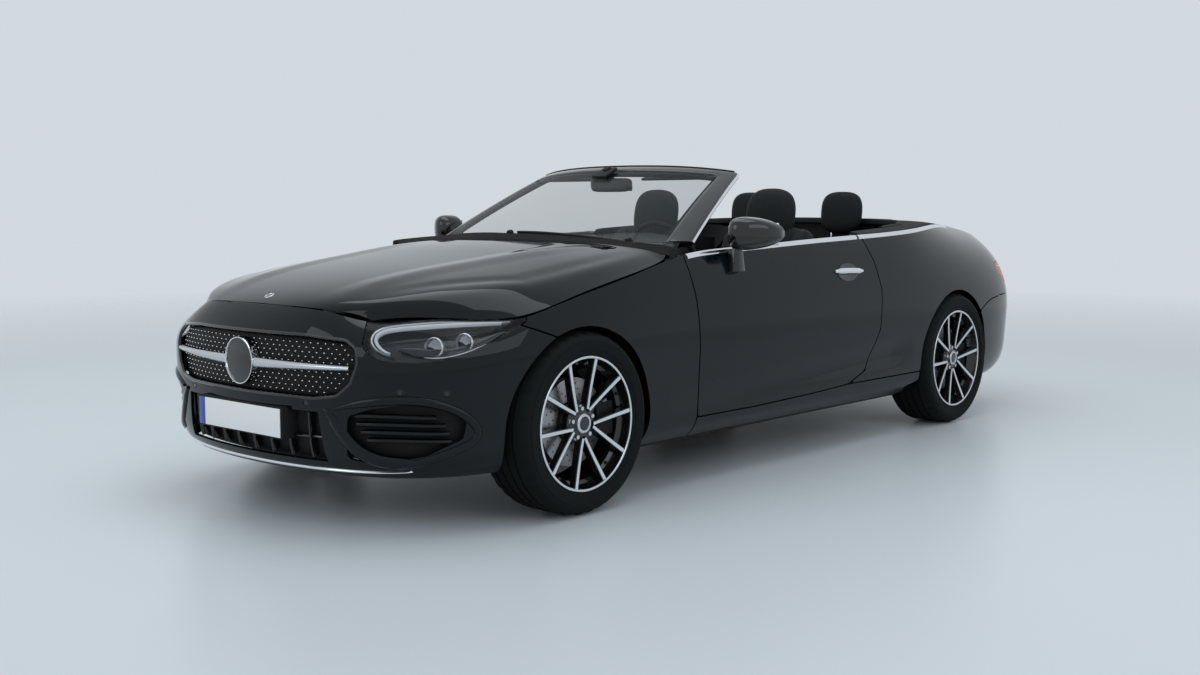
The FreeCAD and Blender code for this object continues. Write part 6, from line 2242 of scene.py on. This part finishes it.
@dataclass
class Studio:
    """Camera, floor, backdrop and lamps."""

    place: Point = (5.155, 4.175, 1.132)
    yaw: float = -138.37
    pitch: float = 5.59
    lens: float = 40.4

    def build(self) -> None:
        """Build the studio."""
        camera = bpy.data.objects.new("camera", bpy.data.cameras.new("camera"))
        camera.data.lens, camera.data.sensor_width = self.lens, 36.0
        camera.location = self.place
        yaw, pitch = math.radians(self.yaw), math.radians(self.pitch)
        way = Vector((math.cos(yaw) * math.cos(pitch), math.sin(yaw) * math.cos(pitch), -math.sin(pitch)))
        camera.rotation_euler = way.to_track_quat("-Z", "Y").to_euler()
        bpy.context.scene.collection.objects.link(camera)
        bpy.context.scene.camera = camera
        bpy.context.scene.view_settings.view_transform = "Standard"
        self.floor()
        self.world()
        for name, spot, size, power, aim in (
                ("roof_light", (0.8, 0.0, 4.6), (5.0, 2.6), 62, (0.4, 0, 0)),
                ("side_light", (1.5, 6.0, 3.2), (5.0, 2.2), 34, (0, 0, 0.6)),
                ("nose_light", (6.5, -1.0, 3.0), (3.0, 2.0), 26, (1.5, 0, 0.6))):
            self.lamp(name, spot, size, power, aim)

    def lamp(self, name: str, spot: Point, size: tuple[float, float], power: float, aim: Point) -> None:
        """A soft panel of light.

        Args:
            name: its name.
            spot: where it hangs.
            size: its length and width.
            power: its power in watts.
            aim: where it points.
        """
        data = bpy.data.lights.new(name, "AREA")
        data.shape, data.size, data.size_y, data.energy = "RECTANGLE", *size, power
        data.color = (0.86, 0.95, 1.0)
        light = bpy.data.objects.new(name, data)
        light.location = spot
        light.rotation_euler = (Vector(aim) - Vector(spot)).to_track_quat("-Z", "Y").to_euler()
        bpy.context.scene.collection.objects.link(light)

    def floor(self) -> None:
        """A plain pale floor."""
        bm = bmesh.new()
        bmesh.ops.create_grid(bm, x_segments=2, y_segments=2, size=30)
        mesh = bpy.data.meshes.new("floor")
        bm.to_mesh(mesh)
        bm.free()
        floor = bpy.data.objects.new("floor", mesh)
        nodes = Nodes("pale_floor")
        cloud = nodes.noise(0.6, 2.0)
        away = nodes.value(nodes.add("ShaderNodeVectorMath", {"operation": "LENGTH"}, i0=nodes.place()), "Value")
        mesh.materials.append(nodes.finish(Base_Color=nodes.mix(cloud, (0.66, 0.70, 0.73), (0.69, 0.73, 0.76)),
                                           Roughness=0.32, Metallic=0.0, Alpha=1 - nodes.ramp(away, 5.5, 12.5)))
        bpy.context.scene.collection.objects.link(floor)

    def world(self) -> None:
        """A pale surround."""
        world = bpy.data.worlds.new("surround")
        world.use_nodes = True
        world.node_tree.nodes["Background"].inputs[0].default_value = (0.72, 0.77, 0.81, 1)
        world.node_tree.nodes["Background"].inputs[1].default_value = 0.9
        bpy.context.scene.world = world


NODE_LOOKS = {
    Look.STRUCTURE: ("floor_tub", "front_subframe", "rear_subframe", "steering_knuckle_left",
                     "steering_knuckle_right", "engine"),
    Look.PLASTIC: ("wheel_arch_liners", "cowl", "rear_side_trims", "lower_grilles", "front_grille",
                   "interior_mirror", "exhaust_tips"),
    Look.DASH: ("dashboard", "centre_console", "steering_wheel"),
    Look.LEATHER: ("front_seat_left", "front_seat_right", "rear_seat"),
    Look.PIANO: ("windscreen_frame", "door_mirror_left", "door_mirror_right"),
    Look.GLASS: ("windscreen",),
    Look.CHROME: ("door_handle_left", "door_handle_right"),
    Look.PLATE: ("front_plate", "rear_plate"),
    Look.LENS: ("headlamps",),
    Look.RED: ("tail_lamps",),
    Look.TYRE: ("tyre_front_left", "tyre_front_right", "tyre_rear_left", "tyre_rear_right"),
    Look.RIM: ("rim_front_left", "rim_front_right", "rim_rear_left", "rim_rear_right"),
    Look.DISC: ("brake_disc_front_left", "brake_disc_front_right", "brake_disc_rear_left",
                "brake_disc_rear_right"),
}


def dress(nodes: dict) -> None:
    """Give every carried-over node its finish.

    Args:
        nodes: the frame's nodes.
    """
    for look, names in NODE_LOOKS.items():
        for name in names:
            nodes[name].data.materials.clear()
            nodes[name].data.materials.append(look.material())


def corners(low_high: tuple) -> list:
    """Two corners as plain lists of numbers."""
    return [list(corner) for corner in low_high]


def main() -> None:
    """Build the whole car."""
    logging.basicConfig(level=logging.INFO, format="%(name)s %(message)s")
    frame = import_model()
    Studio().build()
    dress(frame["nodes"])
    bodywork = Bodywork()
    bodywork.build()
    Nose(bodywork.wrap, bodywork.count).build()
    Screen().build()
    Brightwork(bodywork.wrap, bodywork.hood_skin, bodywork.count).build()
    Cabin(bodywork.wrap, bodywork.deck_skin).build()
    for end, x, y in (("front", AXLES[0][0], 0.800), ("rear", AXLES[1][0], 0.806)):
        Wheel(end, x / 1000, y).build()


if __name__ == "__main__":
    main()
